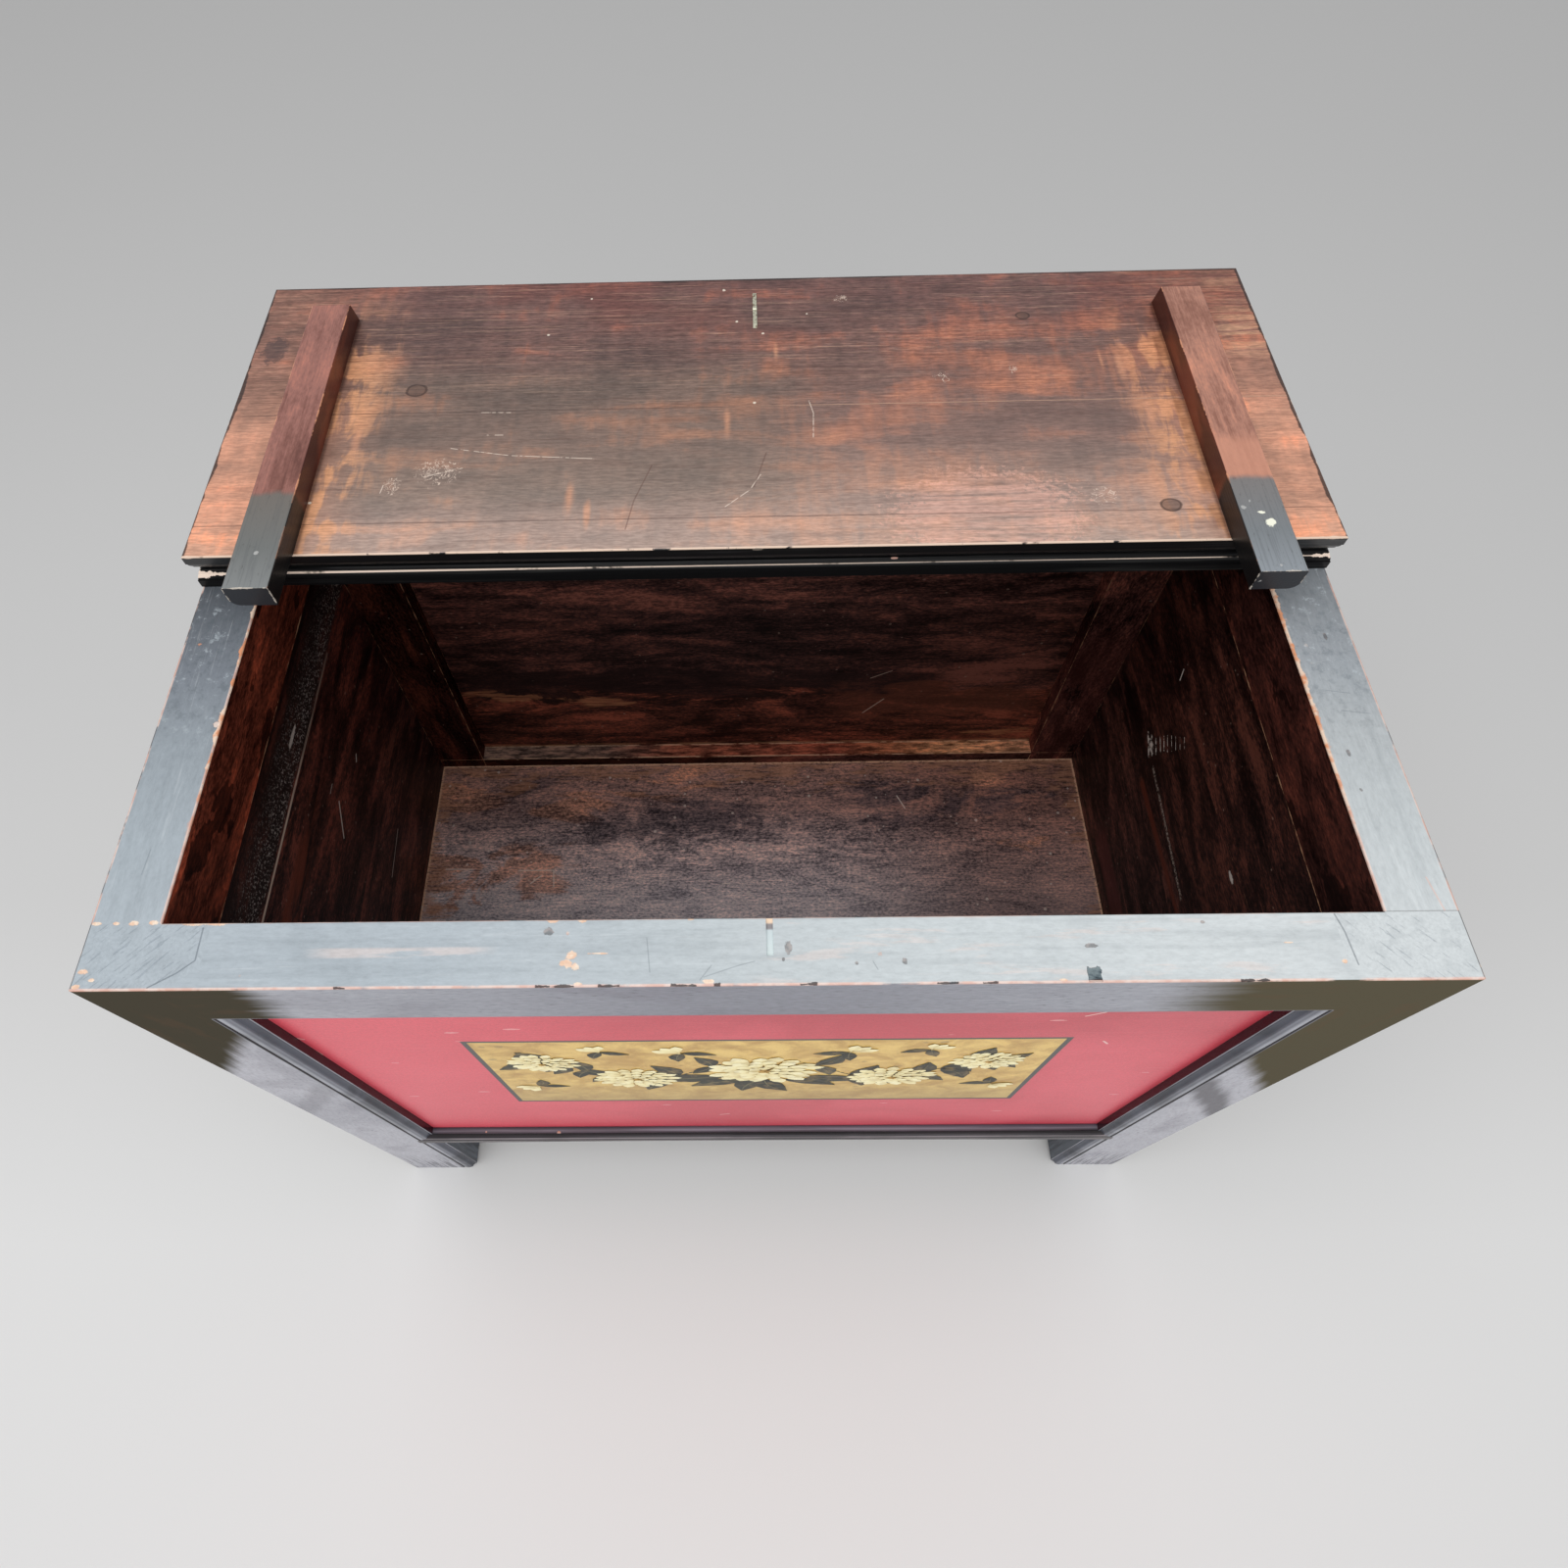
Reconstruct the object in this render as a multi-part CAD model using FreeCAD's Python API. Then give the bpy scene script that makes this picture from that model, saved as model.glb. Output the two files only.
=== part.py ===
"""Painted storage trunk on four legs.

A frame-and-panel box of posts, rails and grooved panels carries a fixed board over the rear of
its mouth. The front of the mouth is closed by a loose lid of three boards on two battens, whose
tails hook under the fixed board. At rest the lid lies turned over on the fixed board.

Units are millimetres. The front face of the trunk is at Y = 0 while the pieces are made, +X is to
the right of someone facing it, and the floor is at Z = 0. On saving, every piece is moved so that
the origin is at the bottom centre of the box around the whole part at rest.
"""
import FreeCAD, Part
import math
import os

V = FreeCAD.Vector
RIGHT = V(1, 0, 0)
LEFT = V(-1, 0, 0)
BACKWARD = V(0, 1, 0)
FORWARD = V(0, -1, 0)
UP = V(0, 0, 1)
DOWN = V(0, 0, -1)

# ---------------------------------------------------------------- overall
trunk_width = 1000.0
trunk_depth = 561.0
rim_height = 930.0
leg_height = 228.0
arris_radius = 1.5

# ---------------------------------------------------------------- posts
front_post_width = 91.0
back_post_width = 95.0
front_post_depth = 49.0
back_post_depth = 49.0
foot_inner_radius = 18.0
foot_outer_radius = 5.0

# ---------------------------------------------------------------- rails
front_top_rail_height = 81.0
back_top_rail_height = 81.0
side_top_rail_height = 84.0
side_rail_width = 53.7
front_bottom_rail_height = 39.0
back_bottom_rail_height = 56.5
side_bottom_rail_height = 36.5
front_rail_arch = 8.0

# ---------------------------------------------------------------- frame moulding
moulding_groove_width = 2.4
moulding_groove_sink = 1.5
moulding_bead_width = 10.0
moulding_cove_width = 7.6
moulding_lip_width = 1.5
moulding_sink = 4.4

# ---------------------------------------------------------------- joints of the frame
shoulder_reach = 25.0
shoulder_thickness = 15.0
tenon_thickness = 16.0
tenon_setback = 18.0
cross_tenon_length = 56.0
side_tenon_length = 30.0
side_tenon_inset = 11.0
top_tenon_height = 35.0
top_tenon_drop = 30.0
bottom_tenon_height = 16.0
bottom_tenon_rise = 8.0

# ---------------------------------------------------------------- panels
panel_thickness = 10.0
panel_groove_depth = 8.0
panel_end_gap = 1.0
front_panel_recess = 12.0
back_panel_recess = 17.0
side_panel_recess = 21.0
left_joint_rises = ((260.0, 252.0), (496.0, 492.0))
right_joint_rises = ((248.0, 284.0), (462.0, 413.0))

# ---------------------------------------------------------------- floor
floor_rise = 36.0
floor_thickness = 14.0
floor_board_count = 3
bearer_width = 40.0
bearer_height = 15.0
bearer_offset = 160.0
bearer_tenon_length = 12.0
bearer_tenon_height = 9.0

# ---------------------------------------------------------------- fixed rear top
top_thickness = 22.0
fixed_top_depth = 203.2
peg_width = 8.0
peg_length = 50.0
peg_back_spacing = 300.0
peg_side_setback = 45.0

# ---------------------------------------------------------------- edge moulding of the top boards
edge_setback = 7.0
edge_flat_height = 10.0
edge_quirk = 0.8
edge_nosing_height = 16.0
edge_fillet_height = 2.0

# ---------------------------------------------------------------- lid
lid_gap = 1.25
lid_strip_width = 34.5
lid_middle_width = 135.5
batten_width = 38.5
batten_thickness = 25.0
batten_side_clearance = 6.0
batten_front_setback = 51.0
batten_end_slant = 8.0
batten_tail = 53.0
batten_tail_clearance = 1.0
batten_tail_radius = 9.0
nail_width = 3.0
nail_length = 38.0
nail_head_width = 8.0
nail_head_thickness = 1.2

# ---------------------------------------------------------------- split pin and ring pull
pin_x = 2.5
pin_setback = 50.5
pin_width = 4.0
pin_thickness = 1.6
pin_split = 0.4
pin_eye_radius = 4.5
pin_neck_rise = 1.0
pin_leg_length = 25.0
pin_point_length = 5.0
pin_bend_radius = 2.4
leg_slot_side_clearance = 0.5
leg_slot_length = 28.0
leg_slot_depth = 2.6
ring_radius = 18.0
ring_bar_width = 4.0
ring_clearance = 0.5

# ---------------------------------------------------------------- derived places
half_width = trunk_width / 2
front_inner_x = half_width - front_post_width
back_inner_x = half_width - back_post_width
side_inner_x = half_width - side_rail_width
panel_outer_x = half_width - side_panel_recess
panel_inner_x = panel_outer_x - panel_thickness
back_inner_y = trunk_depth - back_post_depth
back_panel_y = trunk_depth - back_panel_recess - panel_thickness
top_face_height = rim_height + top_thickness
moulding_width = (
    moulding_groove_width + moulding_bead_width + moulding_cove_width + moulding_lip_width
)
floor_top_height = leg_height + floor_rise
floor_underside = floor_top_height - floor_thickness
fixed_top_front = trunk_depth - fixed_top_depth
batten_outer_x = side_inner_x - batten_side_clearance
batten_inner_x = batten_outer_x - batten_width
hinge_y = fixed_top_front - lid_gap * 0.6
lid_back = fixed_top_front - lid_gap
lid_far_edge_at_rest = 2 * hinge_y
middle_y = lid_far_edge_at_rest / 2


# ================================================================ small shape helpers
def block(x0, x1, y0, y1, z0, z1):
    """A box between two opposite corners."""
    return Part.makeBox(x1 - x0, y1 - y0, z1 - z0, V(x0, y0, z0))


def line(start, end):
    return Part.LineSegment(start, end).toShape()


def arc(start, middle, end):
    return Part.Arc(start, middle, end).toShape()


def prism(outline, travel):
    """A straight prism from a closed outline, given as corner points or as edges."""
    if isinstance(outline[0], FreeCAD.Vector):
        wire = Part.makePolygon(outline + outline[:1])
    else:
        wire = Part.Wire(outline)
    return Part.Face(wire).extrude(travel)


def square_bar(x, y, width, z0, z1):
    """An upright square bar around a point of the plan."""
    half = width / 2
    return block(x - half, x + half, y - half, y + half, z0, z1)


def eight_corners(centre, width, first, second):
    """Corners of an eight-sided section of a given width across its flats."""
    radius = width / 2 / math.cos(math.pi / 8)
    angles = [math.pi / 8 + index * math.pi / 4 for index in range(8)]
    return [centre + first * (radius * math.cos(angle)) + second * (radius * math.sin(angle))
            for angle in angles]


def round_waste(corner, into, also_into, radius, travel):
    """The wood outside a quarter round that is worked along an arris."""
    bulge = corner + (into + also_into) * (radius * (1 - math.sqrt(0.5)))
    outline = [
        arc(corner + into * radius, bulge, corner + also_into * radius),
        line(corner + also_into * radius, corner),
        line(corner, corner + into * radius),
    ]
    return prism(outline, travel)


def mirrored(shape):
    """The same piece on the left-hand side."""
    return shape.mirror(V(0, 0, 0), RIGHT)


def clean(shape):
    """One tidy solid, with faces that lie in one plane joined."""
    return shape.removeSplitter().Solids[0]


# ================================================================ mouldings
def frame_moulding(start, across, inward):
    """Edges of the frame's moulding, from its outer line to its inner arris."""
    groove_end = moulding_groove_width
    bead_end = groove_end + moulding_bead_width
    cove_end = bead_end + moulding_cove_width
    bead_sink = moulding_sink * 0.2

    def at(distance, sink):
        return start + across * distance + inward * sink

    return [
        line(at(0, 0), at(groove_end * 0.45, moulding_groove_sink)),
        line(at(groove_end * 0.45, moulding_groove_sink), at(groove_end, bead_sink * 0.4)),
        arc(at(groove_end, bead_sink * 0.4), at(groove_end + moulding_bead_width * 0.45, 0),
            at(bead_end, bead_sink)),
        arc(at(bead_end, bead_sink), at(bead_end + moulding_cove_width * 0.3, moulding_sink * 0.75),
            at(cove_end, moulding_sink)),
        line(at(cove_end, moulding_sink), at(moulding_width, moulding_sink)),
    ]


def moulding_waste(corner, across, inward, travel):
    """The wood that the moulding plane takes off along one arris of a member."""
    start = corner - across * moulding_width
    outer = start - inward * moulding_sink
    inner = corner - inward * moulding_sink
    profile = frame_moulding(start, across, inward)
    outline = profile + [
        line(corner + inward * moulding_sink, inner),
        line(inner, outer),
        line(outer, start),
    ]
    return prism(outline, travel)


def edge_waste(corner, outward, along, length):
    """The wood taken off one upper edge of a top board: flat, quirk, nosing, cove and fillet."""
    shoulder = edge_setback * 0.4
    cove_top = top_thickness - edge_fillet_height

    def at(setback, height):
        return corner - outward * setback + UP * height

    outline = [
        line(at(0, edge_flat_height), at(edge_quirk, edge_flat_height)),
        arc(at(edge_quirk, edge_flat_height),
            at(edge_quirk + (shoulder - edge_quirk) * 0.3,
               edge_flat_height + (edge_nosing_height - edge_flat_height) * 0.6),
            at(shoulder, edge_nosing_height)),
        arc(at(shoulder, edge_nosing_height),
            at(shoulder + (edge_setback - shoulder) * 0.3,
               edge_nosing_height + (cove_top - edge_nosing_height) * 0.7),
            at(edge_setback, cove_top)),
        line(at(edge_setback, cove_top), at(edge_setback, top_thickness + 1)),
        line(at(edge_setback, top_thickness + 1), at(-1, top_thickness + 1)),
        line(at(-1, top_thickness + 1), at(-1, edge_flat_height)),
        line(at(-1, edge_flat_height), at(0, edge_flat_height)),
    ]
    return prism(outline, along * length)


def moulded_top(y0, y1):
    """A top board as wide as the trunk, moulded round its upper edges and eased along the lower."""
    board = block(-half_width, half_width, y0, y1, rim_height, top_face_height)
    near_left = V(-half_width, y0, rim_height)
    near_right = V(half_width, y0, rim_height)
    far_left = V(-half_width, y1, rim_height)
    for corner, outward, along, length in (
        (near_left, FORWARD, RIGHT, trunk_width),
        (far_left, BACKWARD, RIGHT, trunk_width),
        (near_left, LEFT, BACKWARD, y1 - y0),
        (near_right, RIGHT, BACKWARD, y1 - y0),
    ):
        board = board.cut(edge_waste(corner, outward, along, length))
        board = board.cut(round_waste(corner, outward * -1, UP, arris_radius, along * length))
    return board


# ================================================================ rails
def cross_tenons(shoulder_x, y0, z0, height):
    """Tenons on both ends of a front or back rail."""
    right = block(shoulder_x - 1, shoulder_x + cross_tenon_length,
                  y0, y0 + tenon_thickness, z0, z0 + height)
    return [right, mirrored(right)]


def side_tenons(z0, height):
    """Tenons on both ends of a right-hand side rail."""
    x1 = half_width - side_tenon_inset
    x0 = x1 - tenon_thickness
    return [
        block(x0, x1, front_post_depth - side_tenon_length, front_post_depth + 1, z0, z0 + height),
        block(x0, x1, back_inner_y - 1, back_inner_y + side_tenon_length, z0, z0 + height),
    ]


def shouldered_rail(z0, height):
    """A front rail whose face runs out at each end in a sloping shoulder over the moulding."""
    tip = front_inner_x + shoulder_reach
    right_end = [
        V(tip, 0, z0),
        V(front_inner_x, shoulder_thickness, z0),
        V(front_inner_x, front_post_depth, z0),
    ]
    left_end = [V(-point.x, point.y, z0) for point in reversed(right_end)]
    return prism(right_end + left_end, UP * height)


def front_top_rail():
    z0 = rim_height - front_top_rail_height
    tenon_z = rim_height - top_tenon_drop - top_tenon_height
    rail = shouldered_rail(z0, front_top_rail_height)
    rail = rail.fuse(cross_tenons(front_inner_x, tenon_setback, tenon_z, top_tenon_height))
    half_slot = pin_width / 2 + leg_slot_side_clearance
    leg_slot = block(pin_x - half_slot, pin_x + half_slot, front_post_depth - leg_slot_length,
                     front_post_depth, rim_height - leg_slot_depth, rim_height)
    return clean(rail.cut([leg_slot, front_panel_room()]))


def front_bottom_rail():
    """Moulded along its top, mitred into the post mouldings, its underside hollowed."""
    top = leg_height + front_bottom_rail_height
    tip = front_inner_x + shoulder_reach
    rail = shouldered_rail(leg_height, front_bottom_rail_height)
    rail = rail.cut(moulding_waste(V(-tip, 0, top), UP, BACKWARD, RIGHT * (2 * tip)))
    mitre = prism(
        [V(front_inner_x, 0, top), V(tip + 1, 0, top), V(tip + 1, 0, top - shoulder_reach - 1)],
        BACKWARD * shoulder_thickness,
    )
    arch = prism(
        [
            arc(V(-front_inner_x, 0, leg_height), V(0, 0, leg_height + front_rail_arch),
                V(front_inner_x, 0, leg_height)),
            line(V(front_inner_x, 0, leg_height), V(-front_inner_x, 0, leg_height)),
        ],
        BACKWARD * front_post_depth,
    )
    rail = rail.cut([mitre, mirrored(mitre), arch])
    rail = rail.fuse(cross_tenons(front_inner_x, tenon_setback, leg_height + bottom_tenon_rise,
                                  bottom_tenon_height))
    return clean(rail.cut([front_panel_room()] + floor_bearers()))


def back_top_rail():
    z0 = rim_height - back_top_rail_height
    tenon_z = rim_height - top_tenon_drop - top_tenon_height
    rail = block(-back_inner_x, back_inner_x, back_inner_y, trunk_depth, z0, rim_height)
    rail = rail.fuse(cross_tenons(back_inner_x, back_inner_y + tenon_setback, tenon_z,
                                  top_tenon_height))
    return clean(rail.cut([back_panel_room()] + fixed_top_pegs()))


def back_bottom_rail():
    rail = block(-back_inner_x, back_inner_x, back_inner_y, trunk_depth,
                 leg_height, leg_height + back_bottom_rail_height)
    rail = rail.fuse(cross_tenons(back_inner_x, back_inner_y + tenon_setback,
                                  leg_height + bottom_tenon_rise, bottom_tenon_height))
    return clean(rail.cut([back_panel_room()] + floor_bearers()))


def side_top_rail():
    """Right-hand side rail of the rim."""
    z0 = rim_height - side_top_rail_height
    tenon_z = rim_height - top_tenon_drop - top_tenon_height
    rail = block(side_inner_x, half_width, front_post_depth, back_inner_y, z0, rim_height)
    rail = rail.fuse(side_tenons(tenon_z, top_tenon_height))
    return clean(rail.cut([side_panel_room()] + fixed_top_pegs()))


def side_bottom_rail():
    """Right-hand bottom rail, rebated on the inside to carry the floor boards."""
    rail = block(side_inner_x, half_width, front_post_depth, back_inner_y,
                 leg_height, leg_height + side_bottom_rail_height)
    rail = rail.fuse(side_tenons(leg_height + bottom_tenon_rise, bottom_tenon_height))
    return clean(rail.cut([side_panel_room(), floor_room()]))


# ================================================================ posts
def rounded_foot(post, inner_x, y0, y1):
    """The foot of a right-hand post, rounded as it is seen from the front."""
    travel = BACKWARD * (y1 - y0)
    inner = round_waste(V(inner_x, y0, 0), RIGHT, UP, foot_inner_radius, travel)
    outer = round_waste(V(half_width, y0, 0), LEFT, UP, foot_outer_radius, travel)
    return post.cut([inner, outer])


def front_post():
    """Right-hand front post, moulded down its inner arris and mortised for the rails."""
    post = block(front_inner_x, half_width, 0, front_post_depth, 0, rim_height)
    inner_arris = V(front_inner_x, 0, 0)
    post = post.cut(moulding_waste(inner_arris, LEFT, BACKWARD, UP * rim_height))
    post = rounded_foot(post, front_inner_x, 0, front_post_depth)
    rails = [front_top_rail(), front_bottom_rail(), side_top_rail(), side_bottom_rail()]
    return clean(post.cut(rails + [front_panel_room(), side_panel_room()]))


def back_post():
    """Right-hand back post, plain and mortised for the rails."""
    post = block(back_inner_x, half_width, back_inner_y, trunk_depth, 0, rim_height)
    post = rounded_foot(post, back_inner_x, back_inner_y, trunk_depth)
    rails = [back_top_rail(), back_bottom_rail(), side_top_rail(), side_bottom_rail()]
    return clean(post.cut(rails + [back_panel_room(), side_panel_room()]))


# ================================================================ worn arrises of the frame
def eased(piece):
    """A piece of the frame with the arrises of the rim and of the trunk's corners rounded."""
    for side, outward in ((-half_width, LEFT), (half_width, RIGHT)):
        inward = outward * -1
        inner_x = side + inward.x * side_rail_width
        piece = piece.cut([
            round_waste(V(side, 0, rim_height), inward, DOWN, arris_radius, BACKWARD * trunk_depth),
            round_waste(V(side, 0, 0), inward, BACKWARD, arris_radius, UP * rim_height),
            round_waste(V(side, trunk_depth, 0), inward, FORWARD, arris_radius, UP * rim_height),
            round_waste(V(inner_x, front_post_depth, rim_height), outward, DOWN, arris_radius,
                        BACKWARD * (back_inner_y - front_post_depth)),
        ])
    piece = piece.cut([
        round_waste(V(-half_width, 0, rim_height), BACKWARD, DOWN, arris_radius, RIGHT * trunk_width),
        round_waste(V(-half_width, trunk_depth, rim_height), FORWARD, DOWN, arris_radius,
                    RIGHT * trunk_width),
        round_waste(V(-side_inner_x, front_post_depth, rim_height), FORWARD, DOWN, arris_radius,
                    RIGHT * (2 * side_inner_x)),
    ])
    return clean(piece)


# ================================================================ panels
def front_panel_room(gap=0.0):
    """The space that the front panel and its grooves take up, or the panel itself."""
    x = front_inner_x + panel_groove_depth - gap
    z0 = leg_height + front_bottom_rail_height - panel_groove_depth + gap
    z1 = rim_height - front_top_rail_height + panel_groove_depth - gap
    return block(-x, x, front_panel_recess, front_panel_recess + panel_thickness, z0, z1)


def back_panel_room(gap=0.0):
    x = back_inner_x + panel_groove_depth - gap
    z0 = leg_height + back_bottom_rail_height - panel_groove_depth + gap
    z1 = rim_height - back_top_rail_height + panel_groove_depth - gap
    return block(-x, x, back_panel_y, back_panel_y + panel_thickness, z0, z1)


def side_panel_room(gap=0.0):
    z0 = leg_height + side_bottom_rail_height - panel_groove_depth
    z1 = rim_height - side_top_rail_height + panel_groove_depth - gap
    y0 = front_post_depth - panel_groove_depth + gap
    y1 = back_inner_y + panel_groove_depth - gap
    return block(panel_inner_x, panel_outer_x, y0, y1, z0, z1)


def side_boards(joint_rises):
    """The right-hand panel's boards, from the bottom up. Each joint rises by so much above the
    frame's underside at the front and at the back of the trunk."""
    panel = side_panel_room(panel_end_gap)
    heights = [(leg_height + front, leg_height + back) for front, back in joint_rises]
    heights = [(0.0, 0.0)] + heights + [(rim_height, rim_height)]
    boards = []
    for (low_front, low_back), (high_front, high_back) in zip(heights, heights[1:]):
        band = prism(
            [
                V(panel_inner_x, 0, low_front),
                V(panel_inner_x, trunk_depth, low_back),
                V(panel_inner_x, trunk_depth, high_back),
                V(panel_inner_x, 0, high_front),
            ],
            RIGHT * panel_thickness,
        )
        boards.append(clean(panel.common(band)))
    return boards


# ================================================================ floor
def floor_room():
    """The space of the floor, between the front and back rails and the side panels."""
    return block(-panel_inner_x, panel_inner_x, front_post_depth, back_inner_y,
                 floor_underside, floor_top_height + 1)


def floor_boards():
    """The floor boards from front to back, laid side by side across the trunk."""
    width = (back_inner_y - front_post_depth) / floor_board_count
    boards = []
    for index in range(floor_board_count):
        y0 = front_post_depth + index * width
        boards.append(block(-panel_inner_x, panel_inner_x, y0, y0 + width,
                            floor_underside, floor_top_height))
    return boards


def floor_bearers():
    """Left and right bearers under the floor, tenoned into the front and back rails."""
    x0 = bearer_offset - bearer_width / 2
    x1 = x0 + bearer_width
    z0 = floor_underside - bearer_height
    body = block(x0, x1, front_post_depth, back_inner_y, z0, floor_underside)
    tenon_z = z0 + (bearer_height - bearer_tenon_height) / 2
    tenon = block(x0, x1, front_post_depth - bearer_tenon_length, back_inner_y + bearer_tenon_length,
                  tenon_z, tenon_z + bearer_tenon_height)
    right = clean(body.fuse(tenon))
    return [mirrored(right), right]


# ================================================================ fixed rear top
def fixed_top_pegs():
    """Pegs that hold the fixed top down on the back and side rails."""
    back_y = trunk_depth - back_post_depth / 2
    side_x = half_width - side_rail_width / 2
    side_y = fixed_top_front + peg_side_setback
    places = [(-peg_back_spacing, back_y), (0, back_y), (peg_back_spacing, back_y),
              (-side_x, side_y), (side_x, side_y)]
    foot = UP * (top_face_height - peg_length)
    return [prism(eight_corners(V(x, y, 0) + foot, peg_width, RIGHT, BACKWARD), UP * peg_length)
            for x, y in places]


def fixed_top():
    return clean(moulded_top(fixed_top_front, trunk_depth).cut(fixed_top_pegs()))


# ================================================================ lid, made as it lies closed
def lid_joint_lines():
    """Y of the lid's board edges, from its front to its back."""
    back_joint = lid_back - lid_strip_width
    front_joint = back_joint - lid_middle_width
    return [0.0, front_joint, back_joint, lid_back]


def lid_boards():
    """Front board, middle board and rear strip of the lid."""
    lid = moulded_top(0.0, lid_back)
    lid = lid.cut(batten_nails() + [pin_slot()])
    lines = lid_joint_lines()
    boards = []
    for y0, y1 in zip(lines, lines[1:]):
        band = block(-half_width, half_width, y0, y1, rim_height, top_face_height)
        boards.append(clean(lid.common(band)))
    return boards


def batten_nails():
    """Cut nails driven through the lid boards into both battens, their heads let in flush."""
    front, front_joint, back_joint, back = lid_joint_lines()
    first = batten_front_setback + batten_end_slant + batten_width / 2
    rows = [first, (first + front_joint) / 2, (front_joint + back_joint) / 2, (back_joint + back) / 2]
    x = batten_inner_x + batten_width / 2
    nails = []
    for side in (-x, x):
        for y in rows:
            shank = square_bar(side, y, nail_width, top_face_height - nail_length, top_face_height)
            head = square_bar(side, y, nail_head_width, top_face_height - nail_head_thickness,
                              top_face_height)
            nails.append(clean(shank.fuse(head)))
    return nails


def lid_batten():
    """Right-hand batten: slanted at the front end to clear the rail, its tail relieved and rounded."""
    x0 = batten_inner_x
    x1 = batten_outer_x
    z0 = rim_height - batten_thickness
    tail_end = lid_back + batten_tail
    tail_top = rim_height - batten_tail_clearance
    side_view = [
        V(x0, batten_front_setback, rim_height),
        V(x0, lid_back, rim_height),
        V(x0, lid_back, tail_top),
        V(x0, tail_end, tail_top),
        V(x0, tail_end, z0),
        V(x0, batten_front_setback + batten_end_slant, z0),
    ]
    batten = prism(side_view, RIGHT * batten_width)
    wastes = [
        round_waste(V(x1, lid_back, tail_top), LEFT, DOWN, batten_tail_radius, BACKWARD * batten_tail),
        round_waste(V(x0, 0, z0), RIGHT, UP, arris_radius, BACKWARD * tail_end),
        round_waste(V(x1, 0, z0), LEFT, UP, arris_radius, BACKWARD * tail_end),
    ]
    return clean(batten.cut(wastes + batten_nails()))


# ================================================================ split pin and ring pull
def pin_slot():
    """The slot through the lid's front board that the split pin's two legs fill."""
    half_x = pin_width / 2
    half_y = pin_split / 2 + pin_thickness
    return block(pin_x - half_x, pin_x + half_x, pin_setback - half_y, pin_setback + half_y,
                 rim_height, top_face_height)


def eye_height():
    """Height of the middle of the pin's eye, with the lid closed."""
    outer = pin_eye_radius + pin_thickness
    half = pin_split / 2 + pin_thickness
    return top_face_height + pin_neck_rise + math.sqrt(outer ** 2 - half ** 2)


def split_pin():
    """One folded strip: an eye above the lid and two pointed legs clenched flat under it."""
    inner_y = pin_split / 2
    outer_y = inner_y + pin_thickness
    eye = eye_height()
    neck = top_face_height + pin_neck_rise
    under = rim_height - pin_thickness
    bend = pin_bend_radius
    tip = outer_y + pin_leg_length
    throat = eye - math.sqrt(pin_eye_radius ** 2 - inner_y ** 2)

    def at(y, z):
        return V(pin_x - pin_width / 2, pin_setback + y, z)

    def leg(side):
        """Edges of one leg, outside face first, from the eye's neck to its throat."""
        bulge = bend * (1 - math.sqrt(0.5))
        return [
            line(at(side * outer_y, neck), at(side * outer_y, rim_height)),
            line(at(side * outer_y, rim_height), at(side * tip, rim_height)),
            line(at(side * tip, rim_height), at(side * (tip - pin_point_length), under)),
            line(at(side * (tip - pin_point_length), under), at(side * (inner_y + bend), under)),
            arc(at(side * (inner_y + bend), under), at(side * (inner_y + bulge), under + bulge),
                at(side * inner_y, under + bend)),
            line(at(side * inner_y, under + bend), at(side * inner_y, throat)),
        ]

    outer_round = arc(at(-outer_y, neck), at(0, eye + pin_eye_radius + pin_thickness),
                      at(outer_y, neck))
    inner_round = arc(at(-inner_y, throat), at(0, eye + pin_eye_radius), at(inner_y, throat))
    outline = Part.__sortEdges__(leg(-1) + leg(1) + [outer_round, inner_round])
    return prism(outline, RIGHT * pin_width)


def ring_pull():
    """Ring of eight-sided bar through the pin's eye. It is made standing up on the closed lid."""
    bar_reach = ring_bar_width / 2 / math.cos(math.pi / 8)
    slack = pin_eye_radius - bar_reach - ring_clearance
    low_middle = V(pin_x, pin_setback, eye_height() + slack)
    centre = low_middle + UP * ring_radius
    corners = eight_corners(low_middle, ring_bar_width, BACKWARD, UP)
    section = Part.Face(Part.makePolygon(corners + corners[:1]))
    return section.revolve(centre, BACKWARD, 360)


# ================================================================ placing and saving
def turned_over(shape):
    """Swing a piece of the closed lid half a turn back, onto the fixed top."""
    opened = shape.copy()
    opened.rotate(V(0, hinge_y, top_face_height), RIGHT, -180)
    return opened


def save(name, *solids):
    """Write one named piece, or a group of equal ones, with the origin moved to the middle."""
    shape = solids[0] if len(solids) == 1 else Part.makeCompound(list(solids))
    placed = shape.copy()
    placed.translate(V(0, -middle_y, 0))
    placed.exportStep(os.path.join("parts", name + ".step"))


def save_pair(name, right_piece):
    """Write a piece and its mirror image, with the side put where the name has a blank."""
    save(name.format("right"), right_piece)
    save(name.format("left"), mirrored(right_piece))


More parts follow.
